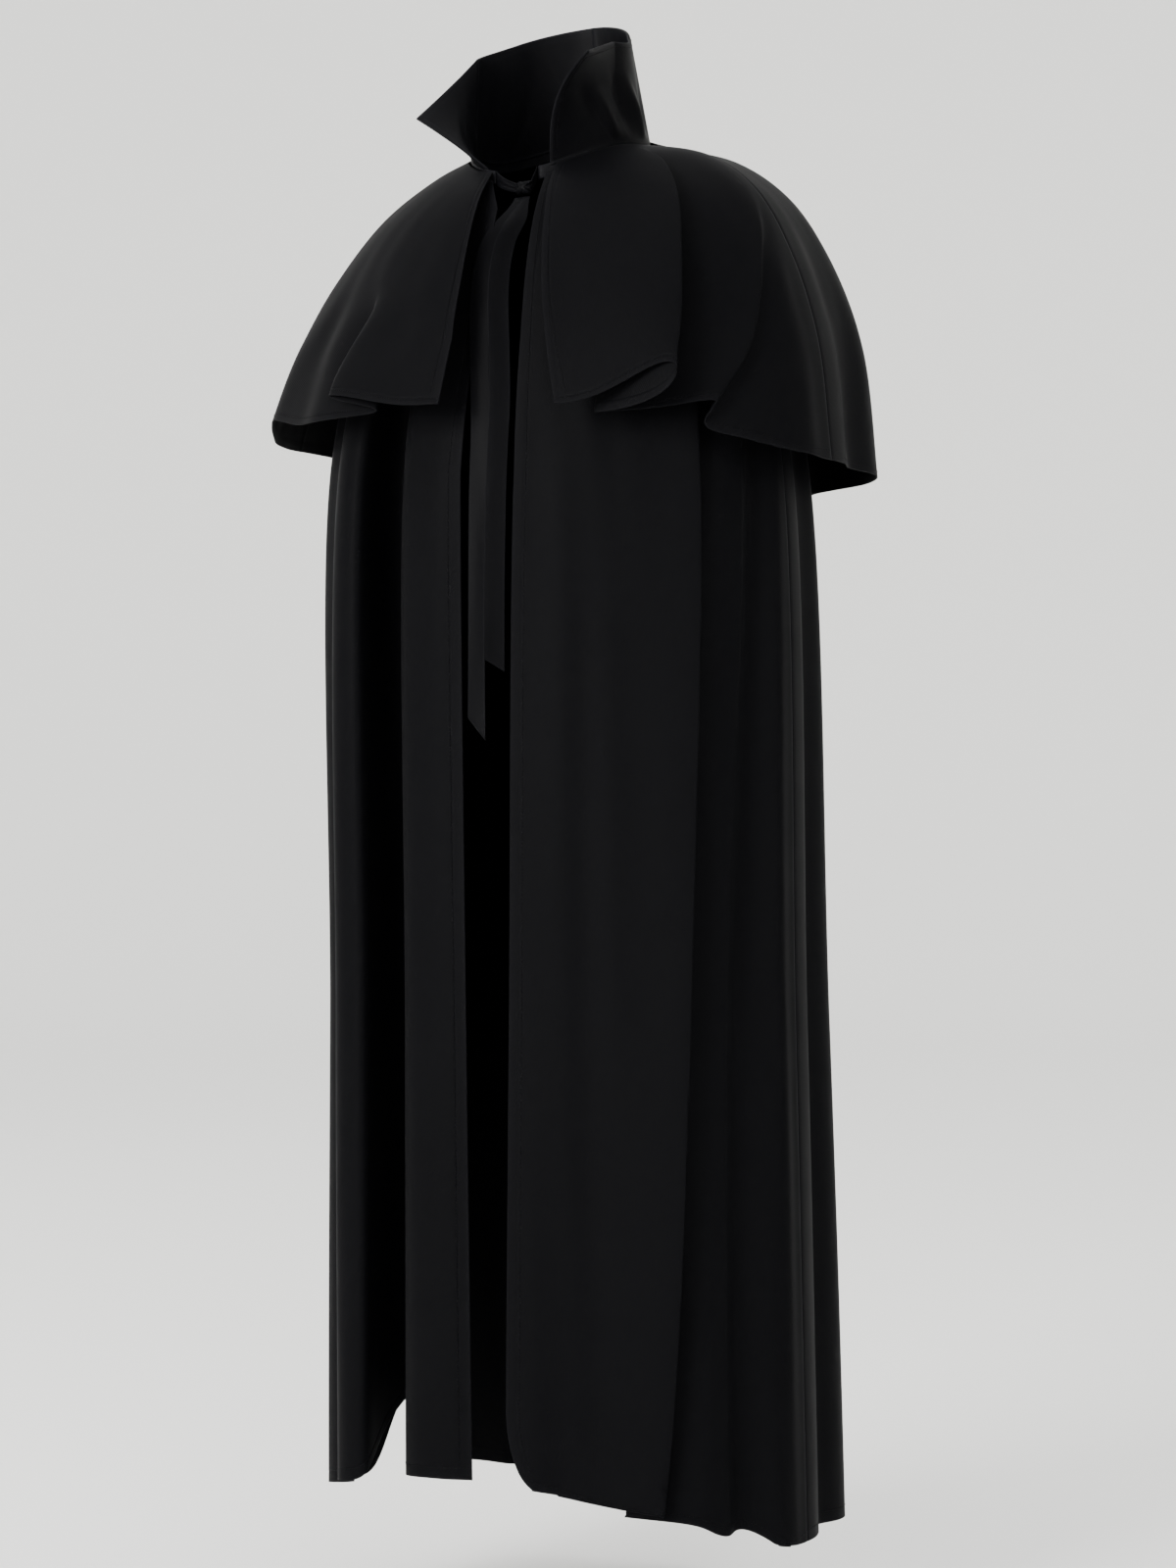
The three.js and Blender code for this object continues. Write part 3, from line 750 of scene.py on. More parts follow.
@dataclass
class CapeBody:
    """The four panels of the floor-length body."""

    cloth: bpy.types.Material
    thread: bpy.types.Material
    left_edge_mm: tuple[float, ...] = (34, 37, 39, 42, 44, 41, 38)      # at each ring
    right_edge_mm: tuple[float, ...] = (25, 5, 2, 7, 16, 8, 1)
    corner_mm: float = 34.0         # how far the left front's lower corner is rounded back
    corner_rings: float = 0.17
    lap: float = 0.15 * MM          # how far each sewn edge reaches past its seam
    swing_top: float = -0.30        # above this height a front stays with the shoulders
    swing_full: float = -0.62       # below this height it swings freely
    hem_width: float = 14 * MM
    fine: float = 16 * MM           # width of the finely stepped ends of each row
    front_steps: int = 220
    layer: HungLayer = field(default_factory=lambda: BODY)
    prefix: str = "body"            # how the pieces' names start
    moving: str = "front"           # how the bodies that a front follows are named
    parts: tuple[str, str] = ("upper", "lower")     # the two solids that a front replaces

    def edge(self, side: Side, ring: Array) -> Array:
        """Gives the azimuth of a front edge at each ring."""
        edges = self.left_edge_mm if side is Side.LEFT else self.right_edge_mm
        last = self.layer.last
        distance = np.interp(ring, np.arange(len(edges)), edges)
        if side is Side.LEFT:
            low = np.clip((ring - last + self.corner_rings) / self.corner_rings, 0, 1)
            distance = distance + self.corner_mm * (1 - np.sqrt(1 - np.minimum(low, 0.98) ** 2))
        return self.layer.azimuth_at(side, ring, distance)

    def rings(self) -> Array:
        """Gives the ring numbers of the rows, fine at the hem."""
        upper = np.linspace(0, 4, 56)
        lower = 4 + 2 * dense_ends(84, 16 * MM, 1.02, both=False)
        return np.concatenate([upper[:-1], lower])

    def panel(self, name: str, first: Callable[[Array], Array], last: Callable[[Array], Array],
              columns: Array, hems: tuple[bool, bool, bool, bool]) -> ClothPiece:
        """Lays out one panel between two lines of azimuth.

        Args:
            name: the piece's name.
            first: the azimuth of the panel's first edge at each ring.
            last: the azimuth of its other edge.
            columns: shares across the panel.
            hems: which edges are hemmed.

        Returns:
            The piece, with its points.
        """
        hem = np.array([float(self.layer.last)])
        columns = even_steps(self.layer, first(hem)[0], last(hem)[0], columns)
        rings = self.rings()[:, None]
        across = columns[None, :]
        azimuth = first(rings) + (last(rings) - first(rings)) * across
        piece = ClothPiece(name, self.cloth, hems=hems, hem_width=self.hem_width)
        piece.points = self.layer.place(azimuth, rings + 0 * across)
        return piece

    def build_back(self, side: Side) -> None:
        """Builds one back panel, from the side seam to the centre back."""
        sign = side.value

        def seam_line(ring: Array) -> Array:
            return sign * (90 - np.degrees(self.lap / self.layer.reach(side, ring)))

        def centre(ring: Array) -> Array:
            return sign * (180 + np.degrees(self.lap / self.layer.back.at(ring)[0]))

        edges = (seam_line, centre) if side is Side.LEFT else (centre, seam_line)
        piece = self.panel(f"body_back_{side.word}", *edges, dense_ends(200, self.fine, 0.55),
                           (False, False, False, True))
        self.hang_back(piece, f"back_{side.word}")

    def hang_back(self, piece: ClothPiece, node: str) -> None:
        """Builds a back panel, which stays with the shoulders, and sews its hem.

        Args:
            piece: the panel.
            node: the solid that it replaces.
        """
        made = piece.build()
        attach(made, "cape")
        self.declare(piece, made, node)
        self.stitch_hem(piece, f"hem_stitches_{node}", None)

    def bend(self, side: Side) -> Bend:
        """Gives how a front blends from the shoulders to the body that swings."""
        return Bend(f"{self.moving}_{side.word}", (0, 0, self.swing_top), (0, 0, self.swing_full))

    def build_front(self, side: Side) -> None:
        """Builds one front, which hangs from the shoulder, with the stitches along its hem and front
        edge.
        """
        sign = side.value

        def seam_line(ring: Array) -> Array:
            return sign * (90 + np.degrees(self.lap / self.layer.reach(side, ring)))

        def front(ring: Array) -> Array:
            return sign * self.edge(side, ring)

        edges = (front, seam_line) if side is Side.LEFT else (seam_line, front)
        columns = dense_ends(self.front_steps, self.fine, 0.55)
        hems = (side is Side.LEFT, side is Side.RIGHT, False, True)
        piece = self.panel(f"{self.prefix}_front_{side.word}", *edges, columns, hems)
        made = piece.build()
        bend = self.bend(side)
        bend.apply(made)
        self.declare(piece, made, *(f"{bend.child}_{part}" for part in self.parts))
        self.stitch_hem(piece, f"hem_stitches_{bend.child}", bend)
        column = 0 if side is Side.LEFT else -1
        self.stitch_edge(piece, column, f"edge_stitches_{bend.child}", bend)

    def declare(self, piece: ClothPiece, made: bpy.types.Object, *nodes: str) -> None:
        """Hides the solids that a panel replaces and logs the size it was cut to."""
        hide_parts(*nodes)
        piece.cut()
        LOG.info("%s: cut %.2f x %.2f m, %.3f square metres", piece.name, *piece.cut(),
                 piece.area())

    def stitch_hem(self, piece: ClothPiece, name: str, bend: Bend | None) -> None:
        """Sews the row of stitches along a panel's hem."""
        _, v = piece.across()
        target = v[-1].mean() - piece.hem_width + STITCH_INSET
        row = int(np.argmin(np.abs(v.mean(axis=1) - target)))
        self.sew(name, piece.points[row], piece.normals()[row], bend)

    def stitch_edge(self, piece: ClothPiece, column: int, name: str, bend: Bend) -> None:
        """Sews the row of stitches down a panel's front edge."""
        u, _ = piece.across()
        target = piece.hem_width - STITCH_INSET
        aim = target if column == 0 else u[:, -1].mean() - target
        nearest = int(np.argmin(np.abs(u.mean(axis=0) - aim)))
        sewn = slice(4, -8)     # the row stops short of the neck seam and of the hem
        self.sew(name, piece.points[sewn, nearest], piece.normals()[sewn, nearest], bend)

    def sew(self, name: str, line: Array, out: Array, bend: Bend | None) -> None:
        """Makes one row of stitches on a panel and hangs it with the panel.

        Args:
            name: the row's name.
            line: the points that the row follows.
            out: the direction out of the cloth at each point.
            bend: how the panel bends, or None where it stays with the shoulders.
        """
        made = StitchRow(name, self.thread).build(line, out)
        if bend is None:
            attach(made, "cape")
        else:
            bend.apply(made)
        LOG.info("%s: %d faces", name, len(made.data.polygons))

    def build(self) -> None:
        """Builds the whole body."""
        for side in Side:
            self.build_back(side)
            self.build_front(side)


@dataclass
class Capelet(CapeBody):
    """The shoulder cape: one back and two fronts, sewn along the shoulders."""

    left_edge_mm: tuple[float, ...] = (44, 54, 65, 77, 90, 103)
    right_edge_mm: tuple[float, ...] = (26, 20, 14, 8, 5, 8)
    corner_mm: float = 0.0
    hem_width: float = 10 * MM
    fine: float = 12 * MM
    front_steps: int = 250
    lift_way: tuple[float, float, float] = (-0.5, -0.7, -0.5)   # on the left; x turns on the right
    lift_top: float = 0.075         # the lift starts this share along the way
    lift_full: float = 0.275        # and is whole from here on
    layer: HungLayer = field(default_factory=lambda: CAPELET)
    prefix: str = "capelet"
    moving: str = "capelet"
    parts: tuple[str, str] = ("yoke", "flap")

    def rings(self) -> Array:
        """Gives the ring numbers of the rows, fine at the hem."""
        return self.layer.last * dense_ends(84, self.fine, 0.42, both=False)

    def bend(self, side: Side) -> Bend:
        """Gives how a front blends from the shoulders to the corner that lifts."""
        way = Vector((self.lift_way[0] * side.value, *self.lift_way[1:]))
        return Bend(f"{self.moving}_{side.word}", tuple(way * self.lift_top),
                    tuple(way * self.lift_full))

    def build_back_piece(self) -> None:
        """Builds the capelet's back, from shoulder seam to shoulder seam."""
        def left(ring: Array) -> Array:
            return 90 - np.degrees(self.lap / self.layer.reach(Side.LEFT, ring))

        def right(ring: Array) -> Array:
            return 270 + np.degrees(self.lap / self.layer.reach(Side.RIGHT, ring))

        piece = self.panel("capelet_back_piece", left, right, dense_ends(290, self.fine, 0.98),
                           (False, False, False, True))
        self.hang_back(piece, "capelet_back")

    def build(self) -> None:
        """Builds the whole capelet."""
        self.build_back_piece()
        for side in Side:
            self.build_front(side)


# ------------------------------------------------------------------ neckband and collar


def neck_line(azimuth: Array, radius: float, above: Array | float) -> Array:
    """Gives points round the neck seam.

    Args:
        azimuth: azimuths in degrees.
        radius: distance from the axis in metres.
        above: height over the seam in metres.

    Returns:
        An array of points with a last axis of 3.
    """
    sine, cosine = turn_out(azimuth)
    height = np.where(cosine >= 0, NECK_FRONT_Z, NECK_BACK_Z) * cosine ** 2 + above
    return np.stack(np.broadcast_arrays(radius * sine, -radius * cosine, height), axis=-1)


@dataclass(frozen=True)
class Buckle:
    """One wrinkle at the foot of the collar, slanted across it."""

    azimuth: float
    down: float         # share of the way down the collar
    slope: float        # degrees of azimuth over the collar's whole height
    depth_mm: float


BUCKLES = (
    Buckle(60, 0.70, 34, 5.4), Buckle(74, 0.62, 30, -5.2), Buckle(90, 0.70, 32, 4.9),
    Buckle(46, 0.56, 36, -3.5), Buckle(108, 0.7, 20, -2.4), Buckle(-40, 0.72, 24, 1.6),
    Buckle(-62, 0.76, -20, -1.8), Buckle(150, 0.8, 16, 1.0), Buckle(-120, 0.76, 20, 1.2),
    Buckle(-96, 0.66, -24, 1.3),
)


@dataclass
class Collar:
    """The stand-up collar: shell, interfacing and facing, in two halves, with its neckband."""

    shell: bpy.types.Material
    facing: bpy.types.Material
    interfacing: bpy.types.Material
    thread: bpy.types.Material
    fold: float = 68.0              # azimuth where each wing bends away
    front: float = 24.0             # azimuth where the collar stops at the front
    centre_back: float = 180.1      # the halves lap a little at the centre back
    wing_share: float = 0.42        # share of a half that is wing
    top_radius: float = 85 * MM
    back_radius: float = 68 * MM    # round the back, where the collar leans in
    lean_share: float = 0.45
    rise: dict[Side, float] = field(default_factory=lambda: {Side.LEFT: 1.7, Side.RIGHT: 1.0})
    bow: dict[Side, float] = field(default_factory=lambda: {Side.LEFT: 0.015, Side.RIGHT: 0.002})
    kink_z: float = 100 * MM
    back_z: float = 143 * MM
    band_above: float = 6 * MM
    band_below: float = 7 * MM
    band_end: float = 16.0
    tips: dict[Side, tuple[float, float, float]] = field(default_factory=lambda: {
        Side.LEFT: (0.099, -0.115, 0.071), Side.RIGHT: (-0.101, -0.101, 0.030)})
    layers: dict[str, tuple[float, float]] = field(default_factory=lambda: {
        "shell": (1.7, 0.7), "interfacing": (0.5, 1.0), "facing": (-0.9, 0.7)})

    def half(self, side: Side) -> Surface:
        """Gives the middle surface of one half, from its front edge to the centre back.

        Args:
            side: which half.

        Returns:
            A surface of a share across, 0 at the front edge, and a share down from the top.
        """
        sign = side.value
        tip = np.array(self.tips[side])
        kink = neck_line(np.array(sign * self.fold), self.top_radius, 0.0)
        kink[2] = self.kink_z

        def surface(across: Array, down: Array) -> Array:
            wing = np.clip(across / self.wing_share, 0, 1)
            round_it = np.clip((across - self.wing_share) / (1 - self.wing_share), 0, 1)
            azimuth = np.where(across < self.wing_share,
                               self.front + (self.fold - self.front) * wing,
                               self.fold + (self.centre_back - self.fold) * round_it)
            base = neck_line(sign * azimuth, NECK_RADIUS, self.band_above + 0.6 * MM)
            lean = smooth(round_it / self.lean_share)
            rim = neck_line(sign * azimuth,
                            self.top_radius + (self.back_radius - self.top_radius) * lean, 0.0)
            rise = np.sin(round_it * math.pi / 2) ** self.rise[side]
            rim[..., 2] = self.kink_z + (self.back_z - self.kink_z) * rise
            point = tip + (kink - tip) * wing[..., None]
            top = np.where((across < self.wing_share)[..., None], point, rim)
            place = top + (base - top) * np.minimum(down, 1)[..., None]
            # the wing's free corner rolls a little and the base buckles where it meets the neck
            roll = (1 - wing) ** 2 * np.maximum(1 - down, 0) ** 2 * 4 * MM
            bow = self.bow[side] * (1 - wing) ** 1.5 * np.sin(math.pi * np.minimum(down, 1) ** 0.8)
            place[..., 0] += sign * (roll * 0.6 - bow * 0.8)
            place[..., 1] -= roll + bow * 0.6
            sine, cosine = turn_out(sign * azimuth)
            place[..., 2] -= np.maximum(down - 1, 0) * 100 * MM
            buckle = MM * self.buckles(sign * azimuth, np.minimum(down, 1))
            place[..., 0] += sine * buckle
            place[..., 1] -= cosine * buckle
            return place

        return surface

    def buckles(self, azimuth: Array, down: Array) -> Array:
        """Gives how far the wrinkles at the foot of the collar stand out, in mm."""
        half_width, half_height, calm_foot = 5.0, 0.26, 0.06
        total = np.zeros(np.broadcast(azimuth, down).shape)
        for buckle in BUCKLES:
            up = down - buckle.down
            along = (azimuth - buckle.azimuth - buckle.slope * up) / half_width
            total += buckle.depth_mm * np.exp(-along ** 2 - (up / half_height) ** 2)
        return total * (1 - np.exp(-((1 - down) / calm_foot) ** 2))

    def sheet_piece(self, side: Side, layer: str, finish: bpy.types.Material) -> ClothPiece:
        """Lays out one layer of one half, drawn together with the others at its edges."""
        surface = self.half(side)
        shares = dense_ends(110, 9 * MM, 0.33)
        # the shell and the facing reach down over the neckband, and the interfacing doesn't
        foot = [] if layer == "interfacing" else [1.012, 1.025, 1.038]
        rows = np.concatenate([[0, 0.012, 0.03, 0.05, 0.07], np.linspace(0.09, 1, 55), foot])
        across = np.tile(shares[None, :], (len(rows), 1))
        down = np.tile(rows[:, None], (1, len(shares)))
        if side is Side.RIGHT:
            across = across[:, ::-1]
        piece = ClothPiece(f"collar_{layer}_{side.word}", finish, hem_thickness=0.0,
                           hem_width=8 * MM, hems=(side is Side.LEFT, side is Side.RIGHT, True,
                                                   False))
        offset, wall = self.layers[layer]
        piece.thickness = wall * MM
        piece.stitch_depth = 0.0 if layer == "interfacing" else 0.2 * MM
        piece.points = surface(across, down)
        u, v = piece.across()
        free = u if side is Side.LEFT else u[:, -1:] - u
        edge = np.minimum(free, v)
        drawn = 1 - 0.62 * np.exp(-edge / (1.6 * MM))
        piece.points = piece.points + piece.normals() * (offset * MM * drawn)[..., None]
        if layer == "interfacing":
            piece.points = piece.points[2:-1]
        return piece

    def build_half(self, side: Side) -> None:
        """Builds the three layers of one half, which bend at the fold beside the neck."""
        sine, cosine = turn_out(np.array(self.fold))
        across = np.array([side.value * math.cos(math.radians(self.fold)), sine]) * 0.012
        hinge = np.array([side.value * NECK_RADIUS * sine, -NECK_RADIUS * cosine])
        bend = Bend(f"wing_{side.word}",
                    (hinge[0] + across[0], hinge[1] + across[1], 0.0),
                    (hinge[0] - across[0], hinge[1] - across[1], 0.0))
        finishes = {"shell": self.shell, "interfacing": self.interfacing, "facing": self.facing}
        nodes = {"shell": "outer", "interfacing": "stiffener", "facing": "inner"}
        for layer, finish in finishes.items():
            piece = self.sheet_piece(side, layer, finish)
            made = piece.build()
            bend.apply(made)
            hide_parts(f"collar_{nodes[layer]}", f"collar_{nodes[layer]}_wing_{side.word}")
            piece.cut()
            piece.area()
            LOG.info("%s: %.4f square metres", piece.name, piece.area())
            if layer == "shell":
                self.topstitch(piece, side, bend)

    def topstitch(self, piece: ClothPiece, side: Side, bend: Bend) -> None:
        """Sews the row of stitches that follows the wing's edge and the collar's top."""
        u, v = piece.across()
        normal = piece.normals()
        inset = 6 * MM
        row = int(np.argmin(np.abs(v.mean(axis=1) - inset)))
        free = u.mean(axis=0) if side is Side.LEFT else (u[:, -1:] - u).mean(axis=0)
        column = int(np.argmin(np.abs(free - inset)))
        if side is Side.LEFT:
            line = np.concatenate([piece.points[:row:-1, column], piece.points[row, column:]])
            out = np.concatenate([normal[:row:-1, column], normal[row, column:]])
        else:
            line = np.concatenate([piece.points[row, :column], piece.points[row:, column]])
            out = np.concatenate([normal[row, :column], normal[row:, column]])
        made = StitchRow(f"collar_topstitch_{side.word}", self.thread).build(line, out)
        bend.apply(made)

    def build_band(self) -> None:
        """Builds the tape inside the neck seam."""
        azimuth = np.linspace(self.band_end, 360 - self.band_end, 160)[None, :]
        rows = np.linspace(0, 1, 9)[:, None]
        above = self.band_above - (self.band_above + self.band_below) * rows
        piece = ClothPiece("neckband_tape", self.facing, thickness=1.6 * MM, hem_width=2 * MM,
                           hem_thickness=0.2 * MM, hems=(False, False, True, True))
        piece.points = neck_line(azimuth + 0 * rows, NECK_RADIUS + 0.8 * MM, above + 0 * azimuth)
        made = piece.build()
        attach(made, "cape")
        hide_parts("neckband")
        piece.cut()

    def build(self) -> None:
        """Builds the neckband and both halves."""
        self.build_band()
        for side in Side:
            self.build_half(side)


# ------------------------------------------------------------------ ties


@dataclass(frozen=True)
class Tail:
    """How one tail of ribbon hangs."""

    across: float       # where its middle hangs, towards the wearer's left
    turn: float         # how far it has turned edge on, in degrees
    length: float
    slant: float        # how much longer one edge is at the cut end


@dataclass
class RibbonTies:
    """Two ribbons, each with a short run from the neckband, a shared knot and a long tail."""

    ribbon: bpy.types.Material
    width: float = 20 * MM
    wall: float = 0.45 * MM
    knot: tuple[float, float, float] = (0.017, -0.098, -0.048)
    knot_half: tuple[float, float, float] = (0.0085, 0.0056, 0.0066)
    drop: float = 9.5 * MM      # from the knot's centre to the top of each tail
    band_end: float = 16.0      # azimuth where the neckband stops
    lead_height: float = 14 * MM
    lead_pinched: float = 8.5 * MM
    tails: dict[Side, Tail] = field(default_factory=lambda: {
        Side.RIGHT: Tail(0.010, 0.0, 0.530, 0.022), Side.LEFT: Tail(0.030, 36.0, 0.470, 0.012)})
    sway: float = -14 * MM      # how far both tails swing aside over the chest
    route: tuple[tuple[float, float], ...] = ((0.004, 0.0), (0.038, 0.058), (0.058, 0.150),
                                              (0.071, 0.250), (0.076, 0.350), (0.076, 0.650))

    def tail(self, side: Side) -> ClothPiece:
        """Lays out one tail, which narrows into the knot and hangs with a slow twist."""
        tail = self.tails[side]
        path = Profile(tuple((y / MM, -z / MM) for y, z in self.route))
        dense = np.linspace(0, path.last, 600)
        forward, height = path.at(dense)
        walked = np.concatenate([[0], np.cumsum(np.hypot(np.diff(forward), np.diff(height)))])
        shares = np.linspace(0, 1, 150)[:, None]
        columns = np.array([0, 0.03, 0.08, 0.2, 0.35, 0.5, 0.65, 0.8, 0.92, 0.97, 1.0])[None, :]
        slant = (columns - 0.5) * tail.slant
        walk = shares * tail.length + slant * smooth((shares - 0.9) / 0.1)
        y = np.interp(walk, walked, forward)
        z = np.interp(walk, walked, height)
        pinch = 0.42 + 0.58 * smooth(shares / 0.07)
        twist = np.radians(tail.turn * smooth(shares / 0.12)
                           + 7 * np.sin(shares * 7 + side.value))
        offset = (columns - 0.5) * self.width * pinch
        knot_x = self.knot[0] + side.value * 4.5 * MM
        swayed = self.sway * smooth(shares / 0.12) * (1 - smooth((shares - 0.16) / 0.34))
        x_mid = knot_x + (tail.across - knot_x) * smooth(shares / 0.10) + swayed
        cup = 1.0 * MM * np.cos((columns - 0.5) * math.pi) * np.sin(shares * 9 + 2 * side.value)
        x = x_mid + offset * np.cos(twist)
        y_all = self.knot[1] - y + offset * np.sin(twist) - cup
        z_all = self.knot[2] - self.drop + z + 0 * columns
        piece = ClothPiece(f"ribbon_tail_{side.word}", self.ribbon, thickness=self.wall,
                           hem_width=0.9 * MM, hem_thickness=0.25 * MM, stitch_depth=0.0,
                           hems=(True, True, False, False))
        piece.points = np.stack(np.broadcast_arrays(x, y_all, z_all), axis=-1)
        return piece

    def lead(self, side: Side) -> ClothPiece:
        """Lays out the run from the end of the neckband to the knot, gathered at the knot."""
        sign = side.value
        start = neck_line(np.array(sign * (self.band_end - 0.3)), NECK_RADIUS, -1 * MM)
        end = np.array(self.knot)
        end[0] += sign * (self.knot_half[0] - 1.0 * MM)
        along = np.linspace(0, 1, 40)[None, :]
        down = np.linspace(0, 1, 13)[:, None]
        near_knot = along if side is Side.RIGHT else 1 - along
        path = start + (end - start) * near_knot[..., None]
        height = self.lead_height + (self.lead_pinched - self.lead_height) * near_knot
        points = np.broadcast_to(path, (down.size, *path.shape[1:])).copy()
        points[..., 2] += (0.5 - down) * height
        long_run = min(1.0, abs(end[0] - start[0]) / 0.02)
        points[..., 1] -= 3 * MM * np.sin(along * math.pi) * long_run
        points[..., 1] -= near_knot ** 2 * 1.1 * MM * np.cos(down * 5 * math.pi)
        points[..., 2] -= 1.6 * MM * np.sin(along * math.pi) * long_run
        piece = ClothPiece(f"ribbon_lead_{side.word}", self.ribbon, thickness=self.wall,
                           hem_width=0.9 * MM, hem_thickness=0.25 * MM, stitch_depth=0.0,
                           hems=(False, False, True, True))
        piece.points = points
        return piece

    def build_knot(self) -> None:
        """Builds the knot: a squashed core with two wraps of ribbon pulled tight round it."""
        deselect_all()
        bpy.ops.mesh.primitive_uv_sphere_add(segments=40, ring_count=24, radius=1,
                                             location=self.knot)
        core = bpy.context.object
        core.name = "ribbon_knot"
        core.scale = [0.93 * half for half in self.knot_half]
        settle(core)
        centre = np.array(self.knot)
        for vertex in core.data.vertices:
            place = (np.array(vertex.co) - centre) / np.array(self.knot_half)
            crease = 0.10 * math.sin(place[2] * 9 + place[0] * 3) + 0.07 * math.sin(place[0] * 8)
            vertex.co = Vector(centre + (np.array(vertex.co) - centre) * (1 + crease * 0.5))
        self.finish_knot(core)
        for number, (tilt, width) in enumerate(((0.32, 0.34), (-0.30, 0.26))):
            deselect_all()
            bpy.ops.mesh.primitive_torus_add(major_segments=48, minor_segments=16,
                                             major_radius=0.86, minor_radius=0.16,
                                             location=self.knot, rotation=(0, math.pi / 2 + tilt, 0))
            wrap = bpy.context.object
            wrap.name = f"ribbon_knot_wrap_{number + 1}"
            settle(wrap)
            for vertex in wrap.data.vertices:
                place = np.array(vertex.co) - centre
                place[0] *= 1 + width * 4
                vertex.co = Vector(centre + place * np.array(self.knot_half))
            self.finish_knot(wrap)

    def finish_knot(self, piece: bpy.types.Object) -> None:
        """Dresses a part of the knot and ties it to the neck."""
        piece.data.materials.clear()
        piece.data.materials.append(self.ribbon)
        for layer in list(piece.data.uv_layers):
            piece.data.uv_layers.remove(layer)
        layer = piece.data.uv_layers.new(name="cloth")
        for loop in piece.data.loops:
            place = piece.data.vertices[loop.vertex_index].co
            layer.data[loop.index].uv = (place.x, place.z)
        for polygon in piece.data.polygons:
            polygon.use_smooth = True
        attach(piece, "cape")
        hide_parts("tie_knot")

    def build(self) -> None:
        """Builds the leads, the knot and the tails."""
        for side in Side:
            lead = self.lead(side)
            made = lead.build()
            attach(made, "cape")
            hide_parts(f"tie_lead_{side.word}")
            lead.cut()
            lead.area()
            tail = self.tail(side)
            made = tail.build()
            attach(made, f"tail_{side.word}")
            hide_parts(f"tie_{side.word}")
            LOG.info("%s: %.0f mm long", tail.name, tail.cut()[1] / MM)
        self.build_knot()


# ------------------------------------------------------------------ studio


@dataclass(frozen=True)
class SoftLight:
    """One square soft light."""

    name: str
    place: tuple[float, float, float]
    size: float
    watts: float


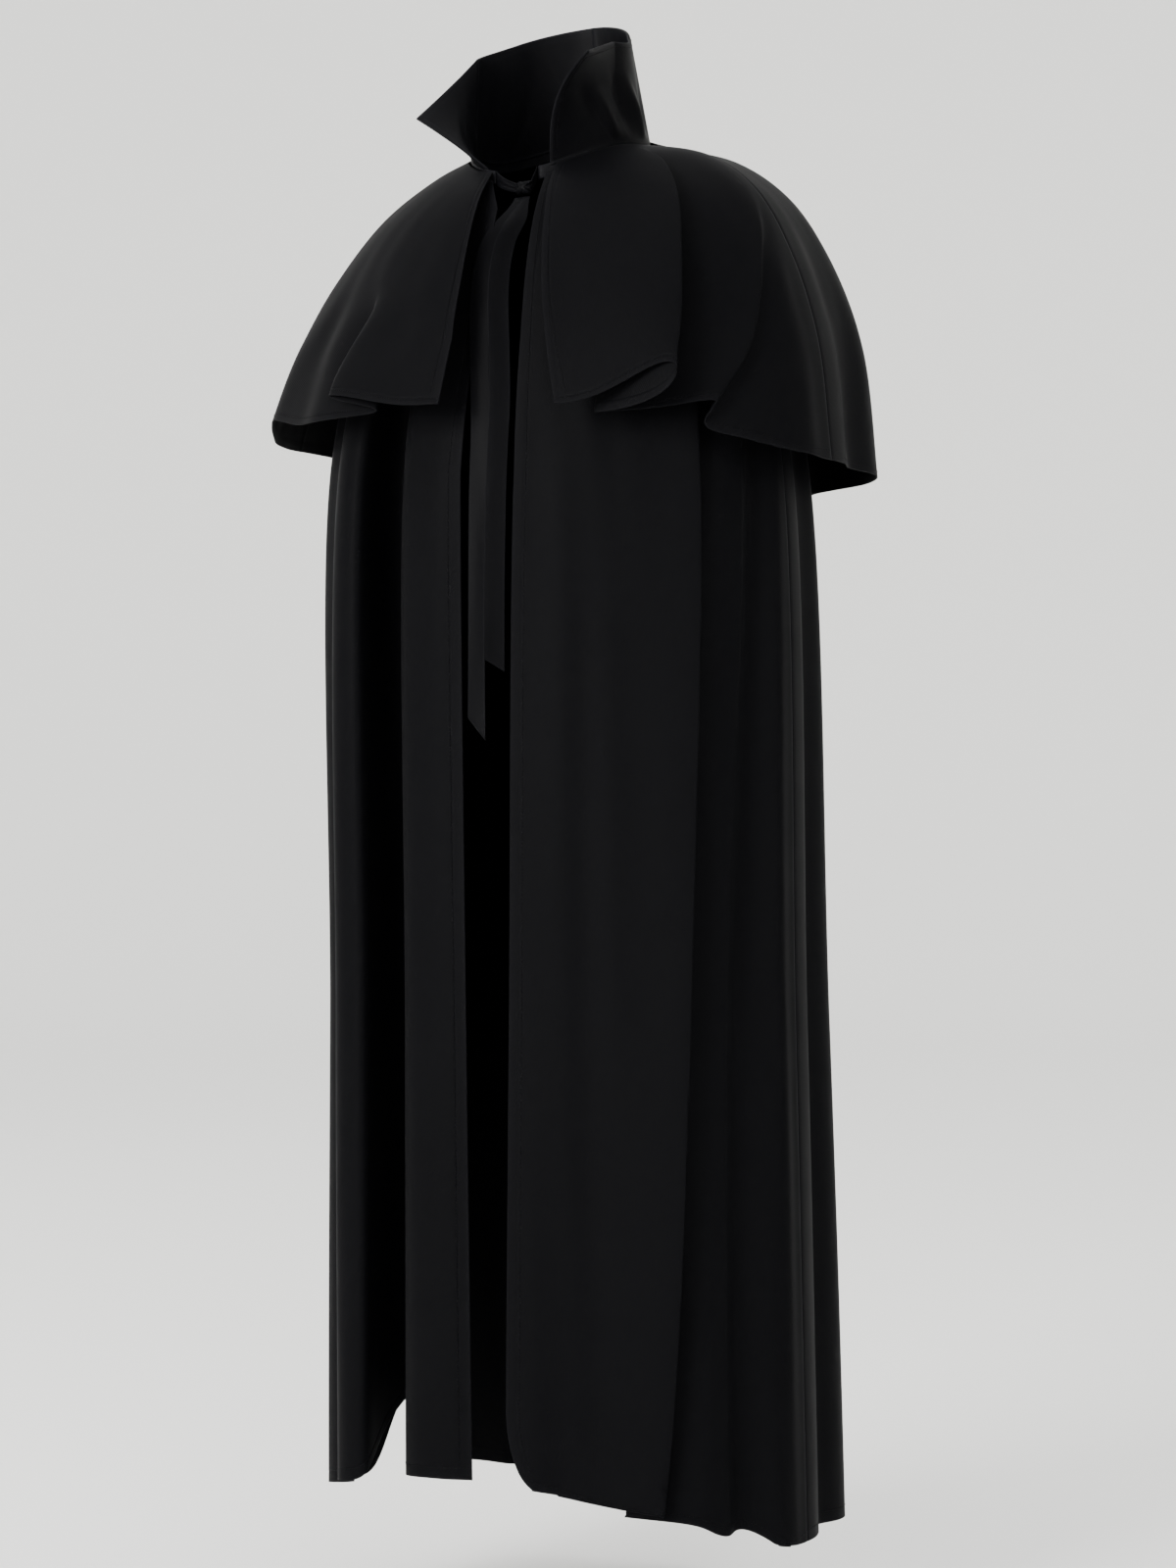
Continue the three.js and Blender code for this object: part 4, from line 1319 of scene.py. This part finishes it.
@dataclass
class Studio:
    """A white sweep all round, soft lights and the camera."""

    paper: bpy.types.Material
    distance: float = 3.2
    azimuth: float = 30.0
    height: float = -0.627
    aside: float = 0.0275
    lens: float = 73.44         # in mm, on a sensor of this width
    sensor: float = 36.0
    floor_z: float = -1.46
    floor_radius: float = 7.0
    curve: float = 2.0          # radius of the curve between the floor and the wall
    curve_steps: int = 8
    wall: float = 5.0
    aim: tuple[float, float, float] = (0.0, 0.0, -0.6)      # what every light points at
    sky: float = 1.5            # strength of the even light from all round
    lights: tuple[SoftLight, ...] = (
        SoftLight("key", (-1.2, -4.4, 0.7), 2.4, 390.0),
        SoftLight("fill", (3.2, -3.1, 0.3), 2.2, 75.0),
        SoftLight("rim_left", (3.4, 2.6, 1.2), 2.2, 6.0),
        SoftLight("rim_right", (-3.8, 1.6, 1.0), 2.2, 14.0),
        SoftLight("top", (0.0, 0.0, 3.4), 3.0, 50.0),
    )

    def build_camera(self) -> None:
        """Stands the camera at the wearer's left front, level, at the middle of the cape."""
        turn = math.radians(self.azimuth)
        across = Vector((math.cos(turn), math.sin(turn), 0))
        back = Vector((math.sin(turn), -math.cos(turn), 0))
        camera = bpy.data.objects.new("camera", bpy.data.cameras.new("camera"))
        bpy.context.scene.collection.objects.link(camera)
        camera.location = back * self.distance + across * self.aside + Vector((0, 0, self.height))
        camera.rotation_euler = (math.pi / 2, 0, turn)
        camera.data.lens = self.lens
        camera.data.sensor_width = self.sensor
        bpy.context.scene.camera = camera

    def build_sweep(self) -> None:
        """Builds the floor, which curves up into a wall on every side."""
        deselect_all()
        bpy.ops.mesh.primitive_circle_add(vertices=96, radius=self.floor_radius, fill_type="NGON",
                                          location=(0, 0, self.floor_z))
        sweep = bpy.context.object
        sweep.name = "studio_sweep"
        bpy.ops.object.mode_set(mode="EDIT")
        bpy.ops.mesh.select_all(action="SELECT")
        for step in range(1, self.curve_steps + 1):
            angle = math.pi / 2 * step / self.curve_steps
            before = math.pi / 2 * (step - 1) / self.curve_steps
            wide = self.floor_radius + self.curve * math.sin(before)
            grow = (self.floor_radius + self.curve * math.sin(angle)) / wide
            climb = self.curve * (math.cos(before) - math.cos(angle))
            bpy.ops.mesh.extrude_region_move(TRANSFORM_OT_translate={"value": (0, 0, climb)})
            bpy.ops.transform.resize(value=(grow, grow, 1))
        bpy.ops.mesh.extrude_region_move(TRANSFORM_OT_translate={"value": (0, 0, self.wall)})
        bpy.ops.mesh.delete(type="FACE")
        bpy.ops.object.mode_set(mode="OBJECT")
        settle(sweep)
        self.close_floor(sweep)
        sweep.data.materials.append(self.paper)

    def close_floor(self, sweep: bpy.types.Object) -> None:
        """Fills the floor's outline again and turns the sweep's faces inwards."""
        shape = bmesh.new()
        shape.from_mesh(sweep.data)
        low = [e for e in shape.edges if e.is_boundary
               and all(v.co.z < self.floor_z + 1e-4 for v in e.verts)]
        if low:
            bmesh.ops.contextual_create(shape, geom=low)
        bmesh.ops.recalc_face_normals(shape, faces=shape.faces)
        for face in shape.faces:
            face.smooth = True
        shape.to_mesh(sweep.data)
        shape.free()

    def build_lights(self) -> None:
        """Hangs the soft lights, and lights the room evenly."""
        for light in self.lights:
            lamp = bpy.data.lights.new(light.name, "AREA")
            lamp.energy = light.watts
            lamp.size = light.size
            lamp.color = (1.0, 0.99, 0.975)
            holder = bpy.data.objects.new(light.name, lamp)
            bpy.context.scene.collection.objects.link(holder)
            holder.location = light.place
            towards = Vector(self.aim) - Vector(light.place)
            holder.rotation_euler = towards.to_track_quat("-Z", "Y").to_euler()
        world = bpy.data.worlds.new("studio")
        bpy.context.scene.world = world
        world.use_nodes = True
        background = world.node_tree.nodes["Background"]
        background.inputs[0].default_value = (1, 1, 1, 1)
        background.inputs[1].default_value = self.sky

    def build(self) -> None:
        """Builds the camera, the sweep and the lights."""
        self.build_camera()
        self.build_sweep()
        self.build_lights()


def main() -> None:
    """Builds the studio and the cape, piece by piece."""
    logging.basicConfig(level=logging.INFO, format="%(message)s")
    paper = PaperFinish("white_studio_paper", "f6f6f4", 0.9).build()
    Studio(paper).build()
    crepe, fused, thread = CREPE.build(), FUSED.build(), THREAD.build()
    CapeBody(crepe, thread).build()
    Capelet(crepe, thread).build()
    Collar(fused, FACING.build(), INTERFACING.build(), thread).build()
    RibbonTies(RIBBON.build()).build()


if __name__ == "__main__":
    main()
